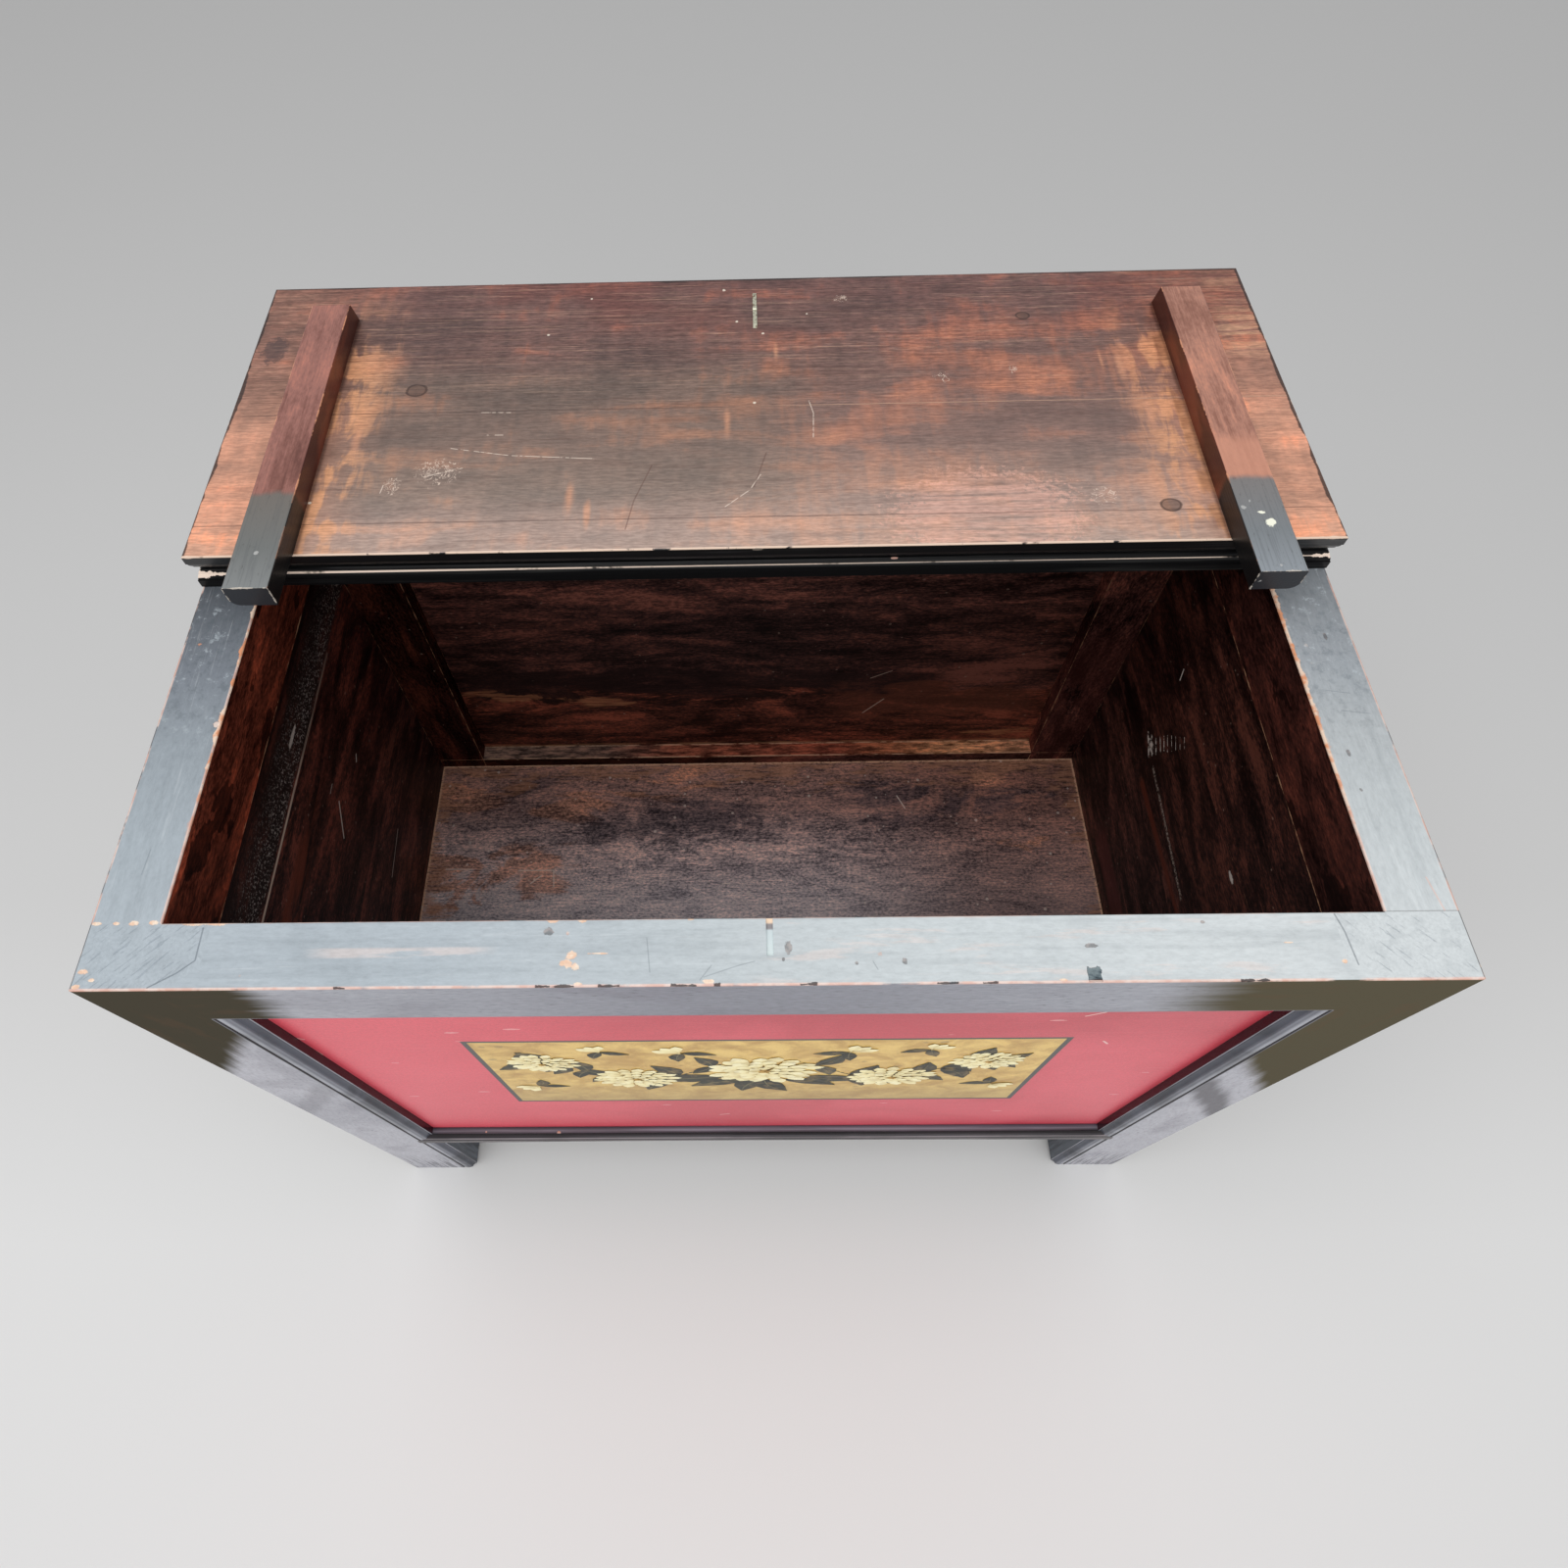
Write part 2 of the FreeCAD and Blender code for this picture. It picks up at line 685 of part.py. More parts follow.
def main():
    os.makedirs("parts", exist_ok=True)

    save_pair("front_{}_post", eased(front_post()))
    save_pair("back_{}_post", eased(back_post()))
    save("front_top_rail", eased(front_top_rail()))
    save("back_top_rail", eased(back_top_rail()))
    save_pair("{}_top_rail", eased(side_top_rail()))
    save("front_bottom_rail", front_bottom_rail())
    save("back_bottom_rail", back_bottom_rail())
    save_pair("{}_bottom_rail", side_bottom_rail())

    save("front_panel", front_panel_room(panel_end_gap))
    save("back_panel", back_panel_room(panel_end_gap))
    levels = ("lower", "middle", "upper")
    for level, board in zip(levels, side_boards(right_joint_rises)):
        save("right_side_{}_board".format(level), board)
    for level, board in zip(levels, side_boards(left_joint_rises)):
        save("left_side_{}_board".format(level), mirrored(board))

    for number, board in enumerate(floor_boards(), start=1):
        save("floor_board_{}".format(number), board)
    left_bearer, right_bearer = floor_bearers()
    save("left_floor_bearer", left_bearer)
    save("right_floor_bearer", right_bearer)

    save("fixed_top", fixed_top())
    save("fixed_top_pegs", *fixed_top_pegs())

    lid_names = ("lid_front_board", "lid_middle_board", "lid_rear_strip")
    for name, board in zip(lid_names, lid_boards()):
        save(name, turned_over(board))
    save_pair("{}_lid_batten", turned_over(lid_batten()))
    save("lid_batten_nails", *[turned_over(nail) for nail in batten_nails()])
    save("lid_split_pin", turned_over(split_pin()))
    save("lid_ring_pull", turned_over(ring_pull()))


main()
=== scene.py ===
"""Looks of the painted storage trunk: lacquer, stain and paint with their wear, the painted
flowers on the front panel, and a plain floor, light and camera. Lengths are in metres."""

import math
import random

import bpy
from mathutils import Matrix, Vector

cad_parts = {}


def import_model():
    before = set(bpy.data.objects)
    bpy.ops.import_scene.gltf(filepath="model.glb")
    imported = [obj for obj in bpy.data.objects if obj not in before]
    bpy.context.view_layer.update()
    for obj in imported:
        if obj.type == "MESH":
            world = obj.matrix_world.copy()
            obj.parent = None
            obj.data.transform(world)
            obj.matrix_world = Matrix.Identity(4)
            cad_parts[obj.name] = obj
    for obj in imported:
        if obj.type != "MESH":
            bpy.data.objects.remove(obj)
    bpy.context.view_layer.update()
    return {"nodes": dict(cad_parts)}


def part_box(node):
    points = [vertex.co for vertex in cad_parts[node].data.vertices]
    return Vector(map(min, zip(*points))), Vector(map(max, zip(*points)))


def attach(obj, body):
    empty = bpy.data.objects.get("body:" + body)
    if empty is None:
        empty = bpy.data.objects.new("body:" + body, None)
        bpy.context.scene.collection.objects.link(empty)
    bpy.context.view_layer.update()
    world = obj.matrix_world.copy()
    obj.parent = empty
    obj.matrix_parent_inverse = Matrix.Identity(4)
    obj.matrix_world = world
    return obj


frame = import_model()
nodes = frame["nodes"]

# ---------------------------------------------------------------- places taken from the frame
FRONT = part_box("front_top_rail")[0].y
FRONT_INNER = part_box("front_top_rail")[1].y
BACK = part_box("back_top_rail")[1].y
BACK_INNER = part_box("back_top_rail")[0].y
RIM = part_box("front_top_rail")[1].z
RAIL_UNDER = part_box("front_top_rail")[0].z
LEGS_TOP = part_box("front_bottom_rail")[0].z
HALF_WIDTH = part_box("right_top_rail")[1].x
SIDE_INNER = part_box("right_top_rail")[0].x
POST_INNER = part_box("front_right_post")[0].x
PANEL_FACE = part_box("front_panel")[0].y
FLOOR_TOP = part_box("floor_board_1")[1].z
LID_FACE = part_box("lid_rear_strip")[1].z
LID_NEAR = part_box("lid_rear_strip")[0].y
LID_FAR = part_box("lid_front_board")[1].y
STRIP_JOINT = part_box("lid_middle_board")[0].y
FRONT_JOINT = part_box("lid_front_board")[0].y
TAIL_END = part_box("right_lid_batten")[0].y
BATTEN_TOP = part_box("right_lid_batten")[1].z
BATTEN_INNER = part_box("right_lid_batten")[0].x
BATTEN_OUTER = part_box("right_lid_batten")[1].x
BATTEN_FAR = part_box("right_lid_batten")[1].y
PANEL_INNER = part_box("right_side_lower_board")[0].x
BACK_PANEL = round(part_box("back_panel")[0].y, 3)
BACK_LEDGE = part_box("back_bottom_rail")[1].z
POST_INNER_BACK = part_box("back_right_post")[0].x
BOTTOM_RAIL_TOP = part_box("front_bottom_rail")[1].z
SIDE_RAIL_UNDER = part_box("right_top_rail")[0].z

AXES = {"x": 0, "y": 1, "z": 2}
MM = 0.001
# Sockets of a mix node that hold colours.
MIX_BASE, MIX_TOP, MIX_RESULT = 6, 7, 2
# Width of the moulding on the front posts, and where the flat of the posts begins beside it.
MOULDING_WIDTH = 0.0225
POST_FLAT = (0.430, 0.432)
# Slot in the front rail that takes the split pin.
SLOT_WIDTH = 0.005
SLOT_LENGTH = 0.029
SLOT_DEPTH = 0.004
FRAME_COAT = 0.45


# ================================================================ node materials
def rgb(red, green, blue):
    """A colour as it looks on a screen, 0 to 255, turned into linear numbers."""
    def linear(value):
        """One channel of it."""
        share = value / 255
        return share / 12.92 if share <= 0.04045 else ((share + 0.055) / 1.055) ** 2.4
    return (linear(red), linear(green), linear(blue))


def as_colour(value):
    """A grey number or three numbers as a colour with alpha; a node's output stays as it is."""
    if isinstance(value, (int, float)):
        value = (value, value, value)
    return (*value, 1.0) if isinstance(value, tuple) else value


def on_plane(axis, level, pair):
    """A point from its two other numbers and the level of the plane across an axis."""
    place = list(pair)
    place.insert(AXES[axis], level)
    return place


def reckoned(operation):
    """The two methods of a sign, such as + or *, that adds a node for an operation."""
    def before(self, other):
        """The value stands before the sign."""
        return self.finish.math(operation, self, other)

    def after(self, other):
        """The value stands after the sign."""
        return self.finish.math(operation, other, self)
    return before, after


class Value:
    """A node's output that can be reckoned with: each sum, difference or product adds a node, and
    | takes the larger of two. A mask is a value from 0 to 1, so * means "and", | means "or"."""

    def __init__(self, finish, socket):
        """Keep the finish that the node belongs to, and its output socket."""
        self.finish = finish
        self.socket = socket

    def __abs__(self):
        """Value without its sign."""
        return self.finish.math("ABSOLUTE", self)

    __add__, __radd__ = reckoned("ADD")
    __sub__, __rsub__ = reckoned("SUBTRACT")
    __mul__, __rmul__ = reckoned("MULTIPLY")
    __or__, __ror__ = reckoned("MAXIMUM")


class Finish:
    """A material that is built up node by node."""

    def __init__(self, name, roughness=0.5, specular=0.3, coat=0.0, coat_roughness=0.1, metal=0.0):
        """Start the shader with its uniform values, and the places that masks are made from."""
        self.material = bpy.data.materials.new(name)
        self.material.use_nodes = True
        self.tree = self.material.node_tree
        self.shader = self.tree.nodes["Principled BSDF"]
        self.set("Roughness", roughness)
        self.set("Specular IOR Level", specular)
        self.set("Coat Weight", coat)
        self.set("Coat Roughness", coat_roughness)
        self.set("Metallic", metal)
        texture = self.node("ShaderNodeTexCoord")
        self.place = self.value(texture, "Object")
        split = self.node("ShaderNodeSeparateXYZ", self.place)
        self.x, self.y, self.z = [self.value(split, axis) for axis in "XYZ"]
        split = self.node("ShaderNodeSeparateXYZ", self.value(texture, "Normal"))
        self.facing_x, self.facing_y, self.facing_z = [self.value(split, axis) for axis in "XYZ"]
        self.across = abs(self.x)
        self.folded = self.value(self.node("ShaderNodeCombineXYZ", self.across, self.y, self.z))
        self.rough_edge = None

    def set(self, socket, value):
        """Give a socket of the shader a number, a colour or another node's output."""
        self.feed(self.shader.inputs[socket], value)

    def feed(self, socket, value):
        """Give any socket a number, a colour, a vector or another node's output."""
        if isinstance(value, Value):
            self.tree.links.new(value.socket, socket)
        else:
            socket.default_value = value

    def node(self, kind, *inputs, **named):
        """Add a node. A keyword with a capital names an input, any other a setting."""
        node = self.tree.nodes.new(kind)
        sockets = {key: value for key, value in named.items() if key[0].isupper()}
        for key in named.keys() - sockets.keys():
            setattr(node, key, named[key])
        for socket, value in zip(node.inputs, inputs):
            self.feed(socket, value)
        for key, value in sockets.items():
            self.feed(node.inputs[key.replace("_", " ")], value)
        return node

    def value(self, node, output=0):
        """An output of a node as a value."""
        return Value(self, node.outputs[output])

    def math(self, operation, *values):
        """Result of a step of arithmetic."""
        return self.value(self.node("ShaderNodeMath", *values, operation=operation))

    def vector(self, operation, *values):
        """Result of a step of vector arithmetic."""
        return self.value(self.node("ShaderNodeVectorMath", *values, operation=operation))

    def length(self, vector):
        """Length of a vector."""
        return self.value(self.node("ShaderNodeVectorMath", vector, operation="LENGTH"), "Value")

    def any_of(self, masks):
        """Largest of a run of masks, each joined on before the next one is made."""
        result = None
        for mask in masks:
            result = mask if result is None else result | mask
        return 0.0 if result is None else result

    def least(self, *values):
        """Smallest of some values."""
        result = values[0]
        for value in values[1:]:
            result = self.math("MINIMUM", result, value)
        return result

    def step(self, value, start, end):
        """0 at start and 1 at end, smoothly. Start may be the larger of the two."""
        return self.value(self.node("ShaderNodeMapRange", value, interpolation_type="SMOOTHSTEP",
                                    From_Min=start, From_Max=end))

    def between(self, value, low, high, soft):
        """1 from low to high, fading out over a soft border outside them."""
        return self.step(value, low - soft, low) * self.step(value, high + soft, high)

    def scaled(self, size, grain, length, shift, place=None):
        """Position in units of a size, drawn out along a grain axis, and shifted."""
        scale = [1 / size] * 3
        if grain:
            scale[AXES[grain]] /= length
        return self.vector("MULTIPLY_ADD", place or self.place, scale, shift)

    def noise(self, size, grain=None, length=12.0, detail=4.0, rough=0.55, twist=0.0, seed=0.0,
              place=None):
        """Clouds of one size, drawn out along a grain axis. The result lies around 0.5."""
        spot = self.scaled(size, grain, length, (seed, seed * 1.7, seed * 0.6), place)
        return self.value(self.node("ShaderNodeTexNoise", spot, Scale=1.0, Detail=detail,
                                    Roughness=rough, Distortion=twist))

    def mix(self, mask, base, top, blend="MIX"):
        """One colour laid over another through a mask."""
        node = self.node("ShaderNodeMix", mask, data_type="RGBA", blend_type=blend)
        self.feed(node.inputs[MIX_BASE], as_colour(base))
        self.feed(node.inputs[MIX_TOP], as_colour(top))
        return self.value(node, MIX_RESULT)

    def shade(self, colour, amount):
        """A colour made darker or lighter by a factor."""
        return self.mix(1.0, colour, amount, blend="MULTIPLY")

    def ramp(self, value, *stops):
        """A colour that runs through the given (value, colour) stops."""
        low, high = stops[0][0], stops[-1][0]
        share = self.node("ShaderNodeMapRange", value, From_Min=low, From_Max=high)
        node = self.node("ShaderNodeValToRGB", self.value(share))
        elements = node.color_ramp.elements
        for place, colour in stops[1:-1]:
            elements.new((place - low) / (high - low)).color = as_colour(colour)
        elements[0].color = as_colour(stops[0][1])
        elements[-1].color = as_colour(stops[-1][1])
        return self.value(node)

    def near_line(self, axis, *point):
        """Distance to an endless line along an axis, through a point given without that axis. A line
        along y or z counts on both sides of the trunk."""
        keep = on_plane(axis, 0.0, (1.0, 1.0))
        back = on_plane(axis, 0.0, [-value for value in point])
        place = self.place if axis == "x" else self.folded
        return self.length(self.vector("MULTIPLY_ADD", place, keep, back))

    def near_segment(self, start, end, place=None):
        """Distance to a straight stroke between two points."""
        start, end = Vector(start), Vector(end)
        run = end - start
        away = self.vector("SUBTRACT", place or self.place, start)
        dot = self.node("ShaderNodeVectorMath", away, run / run.length_squared, operation="DOT_PRODUCT")
        share = self.node("ShaderNodeMath", self.value(dot, "Value"), 0.0, operation="ADD",
                          use_clamp=True)
        along = self.node("ShaderNodeVectorMath", run, operation="SCALE", Scale=self.value(share))
        return self.length(self.vector("SUBTRACT", away, self.value(along)))

    def near_point(self, point, stretch=(1.0, 1.0, 1.0)):
        """Distance to a point, measured in stretched space so that the spot is an oval."""
        return self.length(self.vector("MULTIPLY", self.vector("SUBTRACT", self.place, point), stretch))

    def spot(self, place, radius, stretch=(1.0, 1.0, 1.0), ragged=0.5):
        """A small irregular mark around a point."""
        if self.rough_edge is None:
            self.rough_edge = self.noise(0.005, detail=4.0, rough=0.7, seed=12.0) - 0.5
        away = self.near_point(place, stretch) + self.rough_edge * (4 * ragged * radius)
        return self.step(away, radius, radius * 0.7)

    def stroke(self, start, end, width):
        """A thin straight scratch."""
        return self.step(self.near_segment(start, end), width, width * 0.4)

    def strokes(self, ends, axis, level, width):
        """Scratches on the plane across an axis, each from one pair of numbers to another."""
        return self.any_of(self.stroke(on_plane(axis, level, start), on_plane(axis, level, end), width)
                           for start, end in ends)

    def flecks(self, size, share, grain=None, length=3.0, seed=0.0):
        """Small scattered chips: a share of the cells of a size holds one each."""
        spot = self.scaled(size, grain, length, (seed, seed, seed))
        ragged = self.noise(size * 0.3, detail=2.0, seed=seed)
        cells = self.node("ShaderNodeTexVoronoi", spot, Scale=1.0)
        drawn = self.value(self.node("ShaderNodeSeparateColor", self.value(cells, "Color")))
        reach = self.step(drawn, 1 - share, 1.0) * 0.32
        inside = reach - self.value(cells, "Distance") * (ragged + 0.5)
        return self.step(inside, 0.0, 0.04)

    def worn(self, distance, reach, threshold, size=0.03, seed=0.0):
        """Where an arris is rubbed through: wide in some places, not at all in others."""
        cloud = self.noise(size, detail=5.0, rough=0.65, seed=seed)
        width = (cloud - threshold) * reach
        return self.step(width - distance, 0.0, 0.4 * MM)

    def relief(self, height, depth):
        """Bump from a height mask, as deep as the given length."""
        bump = self.node("ShaderNodeBump", Strength=1.0, Distance=depth, Height=height)
        self.set("Normal", self.value(bump))

    def done(self, colour):
        """Set the colour and return the finished material."""
        self.set("Base Color", colour)
        return self.material


CREAM = rgb(226, 200, 180)
ROSE = rgb(222, 176, 160)
ORANGE = rgb(214, 148, 112)
OLIVE_LEFT = rgb(70, 65, 54)
OLIVE_RIGHT = rgb(88, 82, 66)
BLACK = rgb(17, 17, 18)
MAROON = rgb(48, 19, 28)


# ---------------------------------------------------------------- brown stain of the inside
def stain(f, grain, seed=0.0, body=rgb(72, 38, 31), busy=1.0):
    """Dark stain, wiped on unevenly along the grain: near black in pools, tan where it is thin."""
    wiped = f.noise(0.075, grain, 3.5, detail=5.0, rough=0.6, twist=1.4, seed=seed)
    patches = f.noise(0.022, grain, 3.5, detail=4.0, rough=0.6, twist=0.8, seed=seed + 1)
    fine = f.noise(0.0036, grain, 20.0, detail=4.0, rough=0.65, seed=seed)
    grit = f.noise(0.0026, grain, 2.5, detail=3.0, rough=0.7, seed=seed + 3)
    small = patches * 1.1 + fine * 0.5 + grit * 1.3 - 1.45
    amount = wiped * 1.5 + small * busy - 0.75
    tone = f.ramp(amount, (-0.34, (0.10, 0.09, 0.10)), (-0.16, (0.42, 0.40, 0.41)), (0.02, 1.0),
                  (0.18, (1.95, 1.65, 1.45)), (0.34, (3.6, 3.0, 2.5)))
    colour = f.shade(body, tone)
    tide = f.between(wiped, 0.487, 0.500, 0.008)
    colour = f.mix(tide * 0.45, colour, rgb(20, 11, 10))
    dust = f.flecks(0.006, 0.05, seed=seed + 4)
    colour = f.mix(dust * 0.45, colour, rgb(176, 150, 136))
    return colour, fine, wiped


# ---------------------------------------------------------------- black lacquer of the frame
# Chips and dents: x, y in m, half width and half depth in mm. Notch: from x to x, and its far y.
# Lines run from one x, y to another. Gaps in the lacquer of the front arris: from x to x.
RIM_CHIPS = (
    (-0.1405, -0.3347, 4.5, 4.0), (-0.1425, -0.3405, 4.0, 3.5), (-0.1373, -0.3425, 3.0, 3.0),
    (-0.1465, -0.3404, 2.5, 2.5), (-0.1562, -0.3085, 5.5, 2.2), (-0.1340, -0.3090, 4.5, 2.0),
    (-0.1210, -0.3334, 7.5, 0.7), (-0.0550, -0.3086, 2.5, 1.4), (-0.0419, -0.3540, 4.5, 2.0),
    (-0.1346, -0.3550, 3.5, 1.5), (0.2080, -0.3550, 3.0, 1.2), (-0.4938, -0.3435, 4.2, 2.4),
    (-0.4855, -0.3495, 3.0, 1.6), (-0.4955, -0.3540, 3.2, 1.8), (-0.4945, -0.3080, 4.5, 1.5),
    (-0.4800, -0.3080, 3.2, 1.6), (-0.4670, -0.3076, 4.0, 2.2), (-0.4525, -0.3076, 3.6, 2.2),
    (-0.4230, -0.3086, 9.0, 1.9), (-0.4060, -0.3086, 9.0, 2.1), (0.4064, -0.3438, 2.5, 1.5),
    (0.3720, -0.3300, 4.0, 0.7),
)
RIM_DENTS = (
    (0.0160, -0.3305, 3.6, 4.4), (0.0120, -0.3390, 1.2, 1.6), (-0.1583, -0.3167, 4.0, 3.4),
    (0.0640, -0.3420, 1.3, 1.3), (0.2321, -0.3311, 5.0, 1.8), (0.3144, -0.3148, 1.6, 1.2),
    (0.0980, -0.3410, 2.0, 2.4), (0.4776, -0.0700, 1.8, 4.0), (0.4617, -0.1801, 1.6, 3.6),
    (0.4611, -0.2123, 1.2, 1.6),
)
RIM_NOTCH = (0.2258, 0.2345, -0.3460)
RIM_HAIRLINES = (
    ((-0.0865, -0.3224), (-0.0834, -0.3471)), ((-0.0477, -0.3529), (-0.0395, -0.3426)),
    ((-0.0450, -0.3509), (-0.0199, -0.3428)), ((-0.0199, -0.3428), (-0.0087, -0.3401)),
    ((0.0757, -0.3409), (0.0787, -0.3465)), ((0.4685, -0.1421), (0.4901, -0.1452)),
    ((0.4620, -0.1230), (0.4800, -0.1260)), ((-0.4730, -0.2700), (-0.4720, -0.2500)),
)
ARRIS_GAPS = (
    (-0.3087, -0.3002), (-0.1646, -0.1535), (-0.1521, -0.1367), (-0.1200, -0.1047), (-0.0684, -0.0503),
    (-0.0378, -0.0336), (0.0236, 0.0347), (0.1200, 0.1340), (0.1520, 0.1620), (0.3309, 0.3512),
)
POST_CRACKS = (
    ((-0.4142, -0.3120), (-0.4137, -0.3358)), ((-0.4137, -0.3358), (-0.4248, -0.3448)),
    ((-0.4248, -0.3448), (-0.4431, -0.3551)), ((0.4100, -0.3095), (0.4133, -0.3222)),
    ((0.4133, -0.3222), (0.4155, -0.3460)),
)
SHOULDER_LINES = (((0.485, -0.283), (0.4895, -0.309)),)


def rim_painted_sheen(f, streaks, fine, clouds):
    """The top of the rim: a pale blue-grey painted reflection of the sky, lighter towards the right,
    with painted shade where it darkens under the lid.
    """
    # Painted reflection on the top of the rim, darker towards the back as painted shade under the lid,
    # lighter towards the right.
    painted_sheen = f.ramp(f.y, (-0.31, rgb(167, 176, 183)), (-0.24, rgb(156, 165, 172)),
                  (-0.16, rgb(143, 151, 158)), (-0.09, rgb(117, 123, 131)), (-0.01, rgb(84, 88, 94)))
    painted_sheen = f.shade(painted_sheen,
                   f.ramp(f.x, (-0.24, 1.0), (0.0, (1.28, 1.24, 1.18)), (0.35, (1.52, 1.44, 1.35))))
    painted_sheen = f.mix(f.step(streaks, 0.52, 0.36) * 0.14, painted_sheen, rgb(118, 126, 132))
    painted_sheen = f.mix(f.step(clouds, 0.46, 0.34) * 0.14, painted_sheen, rgb(120, 128, 134))
    painted_sheen = f.mix(f.step(fine, 0.60, 0.74) * 0.14, painted_sheen, rgb(222, 226, 228))
    mottled = f.noise(0.009, detail=5.0, rough=0.7, seed=29.0)
    far = f.step(f.y, -0.22, -0.06) * 0.5
    painted_sheen = f.mix(far * f.step(mottled, 0.50, 0.34), painted_sheen, rgb(84, 92, 98))
    painted_sheen = f.mix(far * f.step(mottled, 0.56, 0.70), painted_sheen, rgb(190, 200, 206))
    # Lighter still at the far right: painted reflection.
    right_far = f.step(f.x, 0.2, 0.4) * f.step(f.y, -0.17, -0.10)
    painted_sheen = f.mix(right_far * 0.15, painted_sheen, rgb(200, 211, 218))
    rosy = f.noise(0.010, "x", 8.0, detail=4.0, rough=0.65, seed=21.0)
    left = f.between(f.x, -0.31, -0.22, 0.03) * f.between(f.y, -0.3340, -0.3290, 0.002)
    right = f.between(f.x, 0.02, 0.40, 0.04) * 0.8
    rosy = ((left * f.step(rosy, 0.40, 0.52) | right * f.step(rosy, 0.56, 0.66))
            * f.step(f.y, -0.30, -0.31) * 0.40)
    painted_sheen = f.mix(rosy, painted_sheen, rgb(226, 206, 198))
    return painted_sheen


def rim_marks(f, top, grain):
    """Chips, dents, hairlines and cracks of the top of the rim."""
    def here(x, y):
        """Whether a mark lies on or near the members with this grain."""
        if grain == "x":
            return abs(x) < 0.45
        if grain == "y":
            return abs(x) > 0.44 and y > -0.32
        return abs(x) > 0.40 and y < -0.28

    tint = f.step(f.noise(0.006, detail=3.0, seed=27.0), 0.40, 0.60)
    chips = f.any_of(f.spot((x, y, RIM), half_x * MM, (1.0, half_x / half_y, 0.5), ragged=0.45)
                     for x, y, half_x, half_y in RIM_CHIPS if here(x, y))
    top = f.mix(chips * 0.85, top, f.mix(tint, rgb(240, 218, 196), rgb(232, 190, 160)))
    dents = f.any_of(f.spot((x, y, RIM), half_x * MM, (1.0, half_x / half_y, 0.5))
                     for x, y, half_x, half_y in RIM_DENTS if here(x, y))
    top = f.mix(dents * 0.60, top, f.mix(tint, rgb(70, 64, 64), rgb(150, 134, 128)))
    hairlines = f.strokes([line for line in RIM_HAIRLINES if here(*line[0])], "z", RIM, 0.6 * MM)
    top = f.mix(hairlines * 0.35, top, rgb(104, 112, 120))
    cracks = f.strokes([] if grain == "y" else POST_CRACKS, "z", RIM, 0.7 * MM)
    top = f.mix(cracks * 0.50, top, rgb(84, 92, 102))
    shoulder = f.stroke((SIDE_INNER, FRONT_INNER, RIM), (HALF_WIDTH, FRONT_INNER, RIM), 0.6 * MM)
    top = f.mix(shoulder * 0.45, top, rgb(96, 90, 90))
    relief = dents * -1.0 + chips * -0.6 + cracks * -1.0
    if grain == "y":
        pink_line = f.strokes(SHOULDER_LINES, "z", RIM, 0.9 * MM)
        top = f.mix(pink_line * 0.45, top, ROSE)
    if grain == "x":
        start, end, depth = RIM_NOTCH
        wander = (f.noise(0.004, detail=3.0, seed=25.0) - 0.5) * 0.006
        notch = (f.between(f.x + wander, start, end, 0.5 * MM)
                 * f.step(f.y + wander, depth, depth - 0.8 * MM))
        notch_tone = f.ramp(f.noise(0.003, "x", 3.0, detail=3.0, seed=26.0), (0.36, rgb(26, 32, 38)),
                            (0.48, rgb(88, 100, 106)), (0.60, rgb(122, 134, 138)))
        top = f.mix(notch, top, notch_tone)
        relief = relief + notch * -4.0
    return top, relief


def polished_front(f, streaks):
    """Where the front is still polished, and a band across the posts where the painted reflection is
    darker.
    """
    ragged = (streaks - 0.5) * 0.05
    across = f.x + ragged
    rail = f.step(across, -0.392, -0.352) * f.step(across, 0.352, 0.272) * f.step(f.across, 0.412, 0.409)
    level = f.z + f.across * 2.0 + f.x * 0.124 + ragged
    post = f.step(level, 1.620, 1.568) * f.step(f.z, RAIL_UNDER + MM, RAIL_UNDER)
    moulded = (f.step(f.across, POST_INNER + MOULDING_WIDTH, POST_INNER + MOULDING_WIDTH - MM)
               * f.step(f.z, RAIL_UNDER + MM, RAIL_UNDER))
    left = f.between(level, 1.380, 1.400, 0.030) * f.step(f.x, 0.0, -0.1) * 0.36
    right = f.between(level, 1.468, 1.496, 0.040) * f.step(f.x, 0.0, 0.1) * 0.92
    darker_reflection_band = (left | right) * f.step(f.across, *POST_FLAT)
    return rail | post | moulded, darker_reflection_band


def moulding_shading(f, grain):
    """Painted light and shade across the moulding by distance from the inner arris: lip, cove, bead and
    groove.
    """
    if grain == "z":
        distance = f.across - POST_INNER
        tone = f.ramp(distance, (0.0, rgb(128, 128, 136)), (0.0015, rgb(130, 130, 138)),
                      (0.0022, rgb(60, 62, 72)), (0.0080, rgb(70, 73, 83)), (0.0100, rgb(112, 114, 123)),
                      (0.0125, rgb(98, 100, 109)), (0.0160, rgb(150, 152, 160)),
                      (0.0188, rgb(140, 142, 150)), (0.0194, rgb(44, 42, 46)), (0.0212, rgb(40, 38, 42)),
                      (0.0220, rgb(124, 125, 132)))
        return tone, f.step(distance, 0.0226, 0.0218) * f.step(f.z, RAIL_UNDER + MM, RAIL_UNDER)
    distance = BOTTOM_RAIL_TOP - f.z
    tone = f.ramp(distance, (0.0, rgb(36, 34, 39)), (0.0016, rgb(24, 20, 24)), (0.0060, rgb(26, 22, 25)),
                  (0.0090, rgb(74, 66, 69)), (0.0110, rgb(122, 114, 118)), (0.0165, rgb(104, 96, 100)),
                  (0.0188, rgb(44, 39, 42)), (0.0215, rgb(44, 39, 42)), (0.0240, rgb(92, 86, 88)),
                  (0.0390, rgb(104, 98, 100)))
    return tone, f.step(f.z, BOTTOM_RAIL_TOP + 3 * MM, BOTTOM_RAIL_TOP + MM)


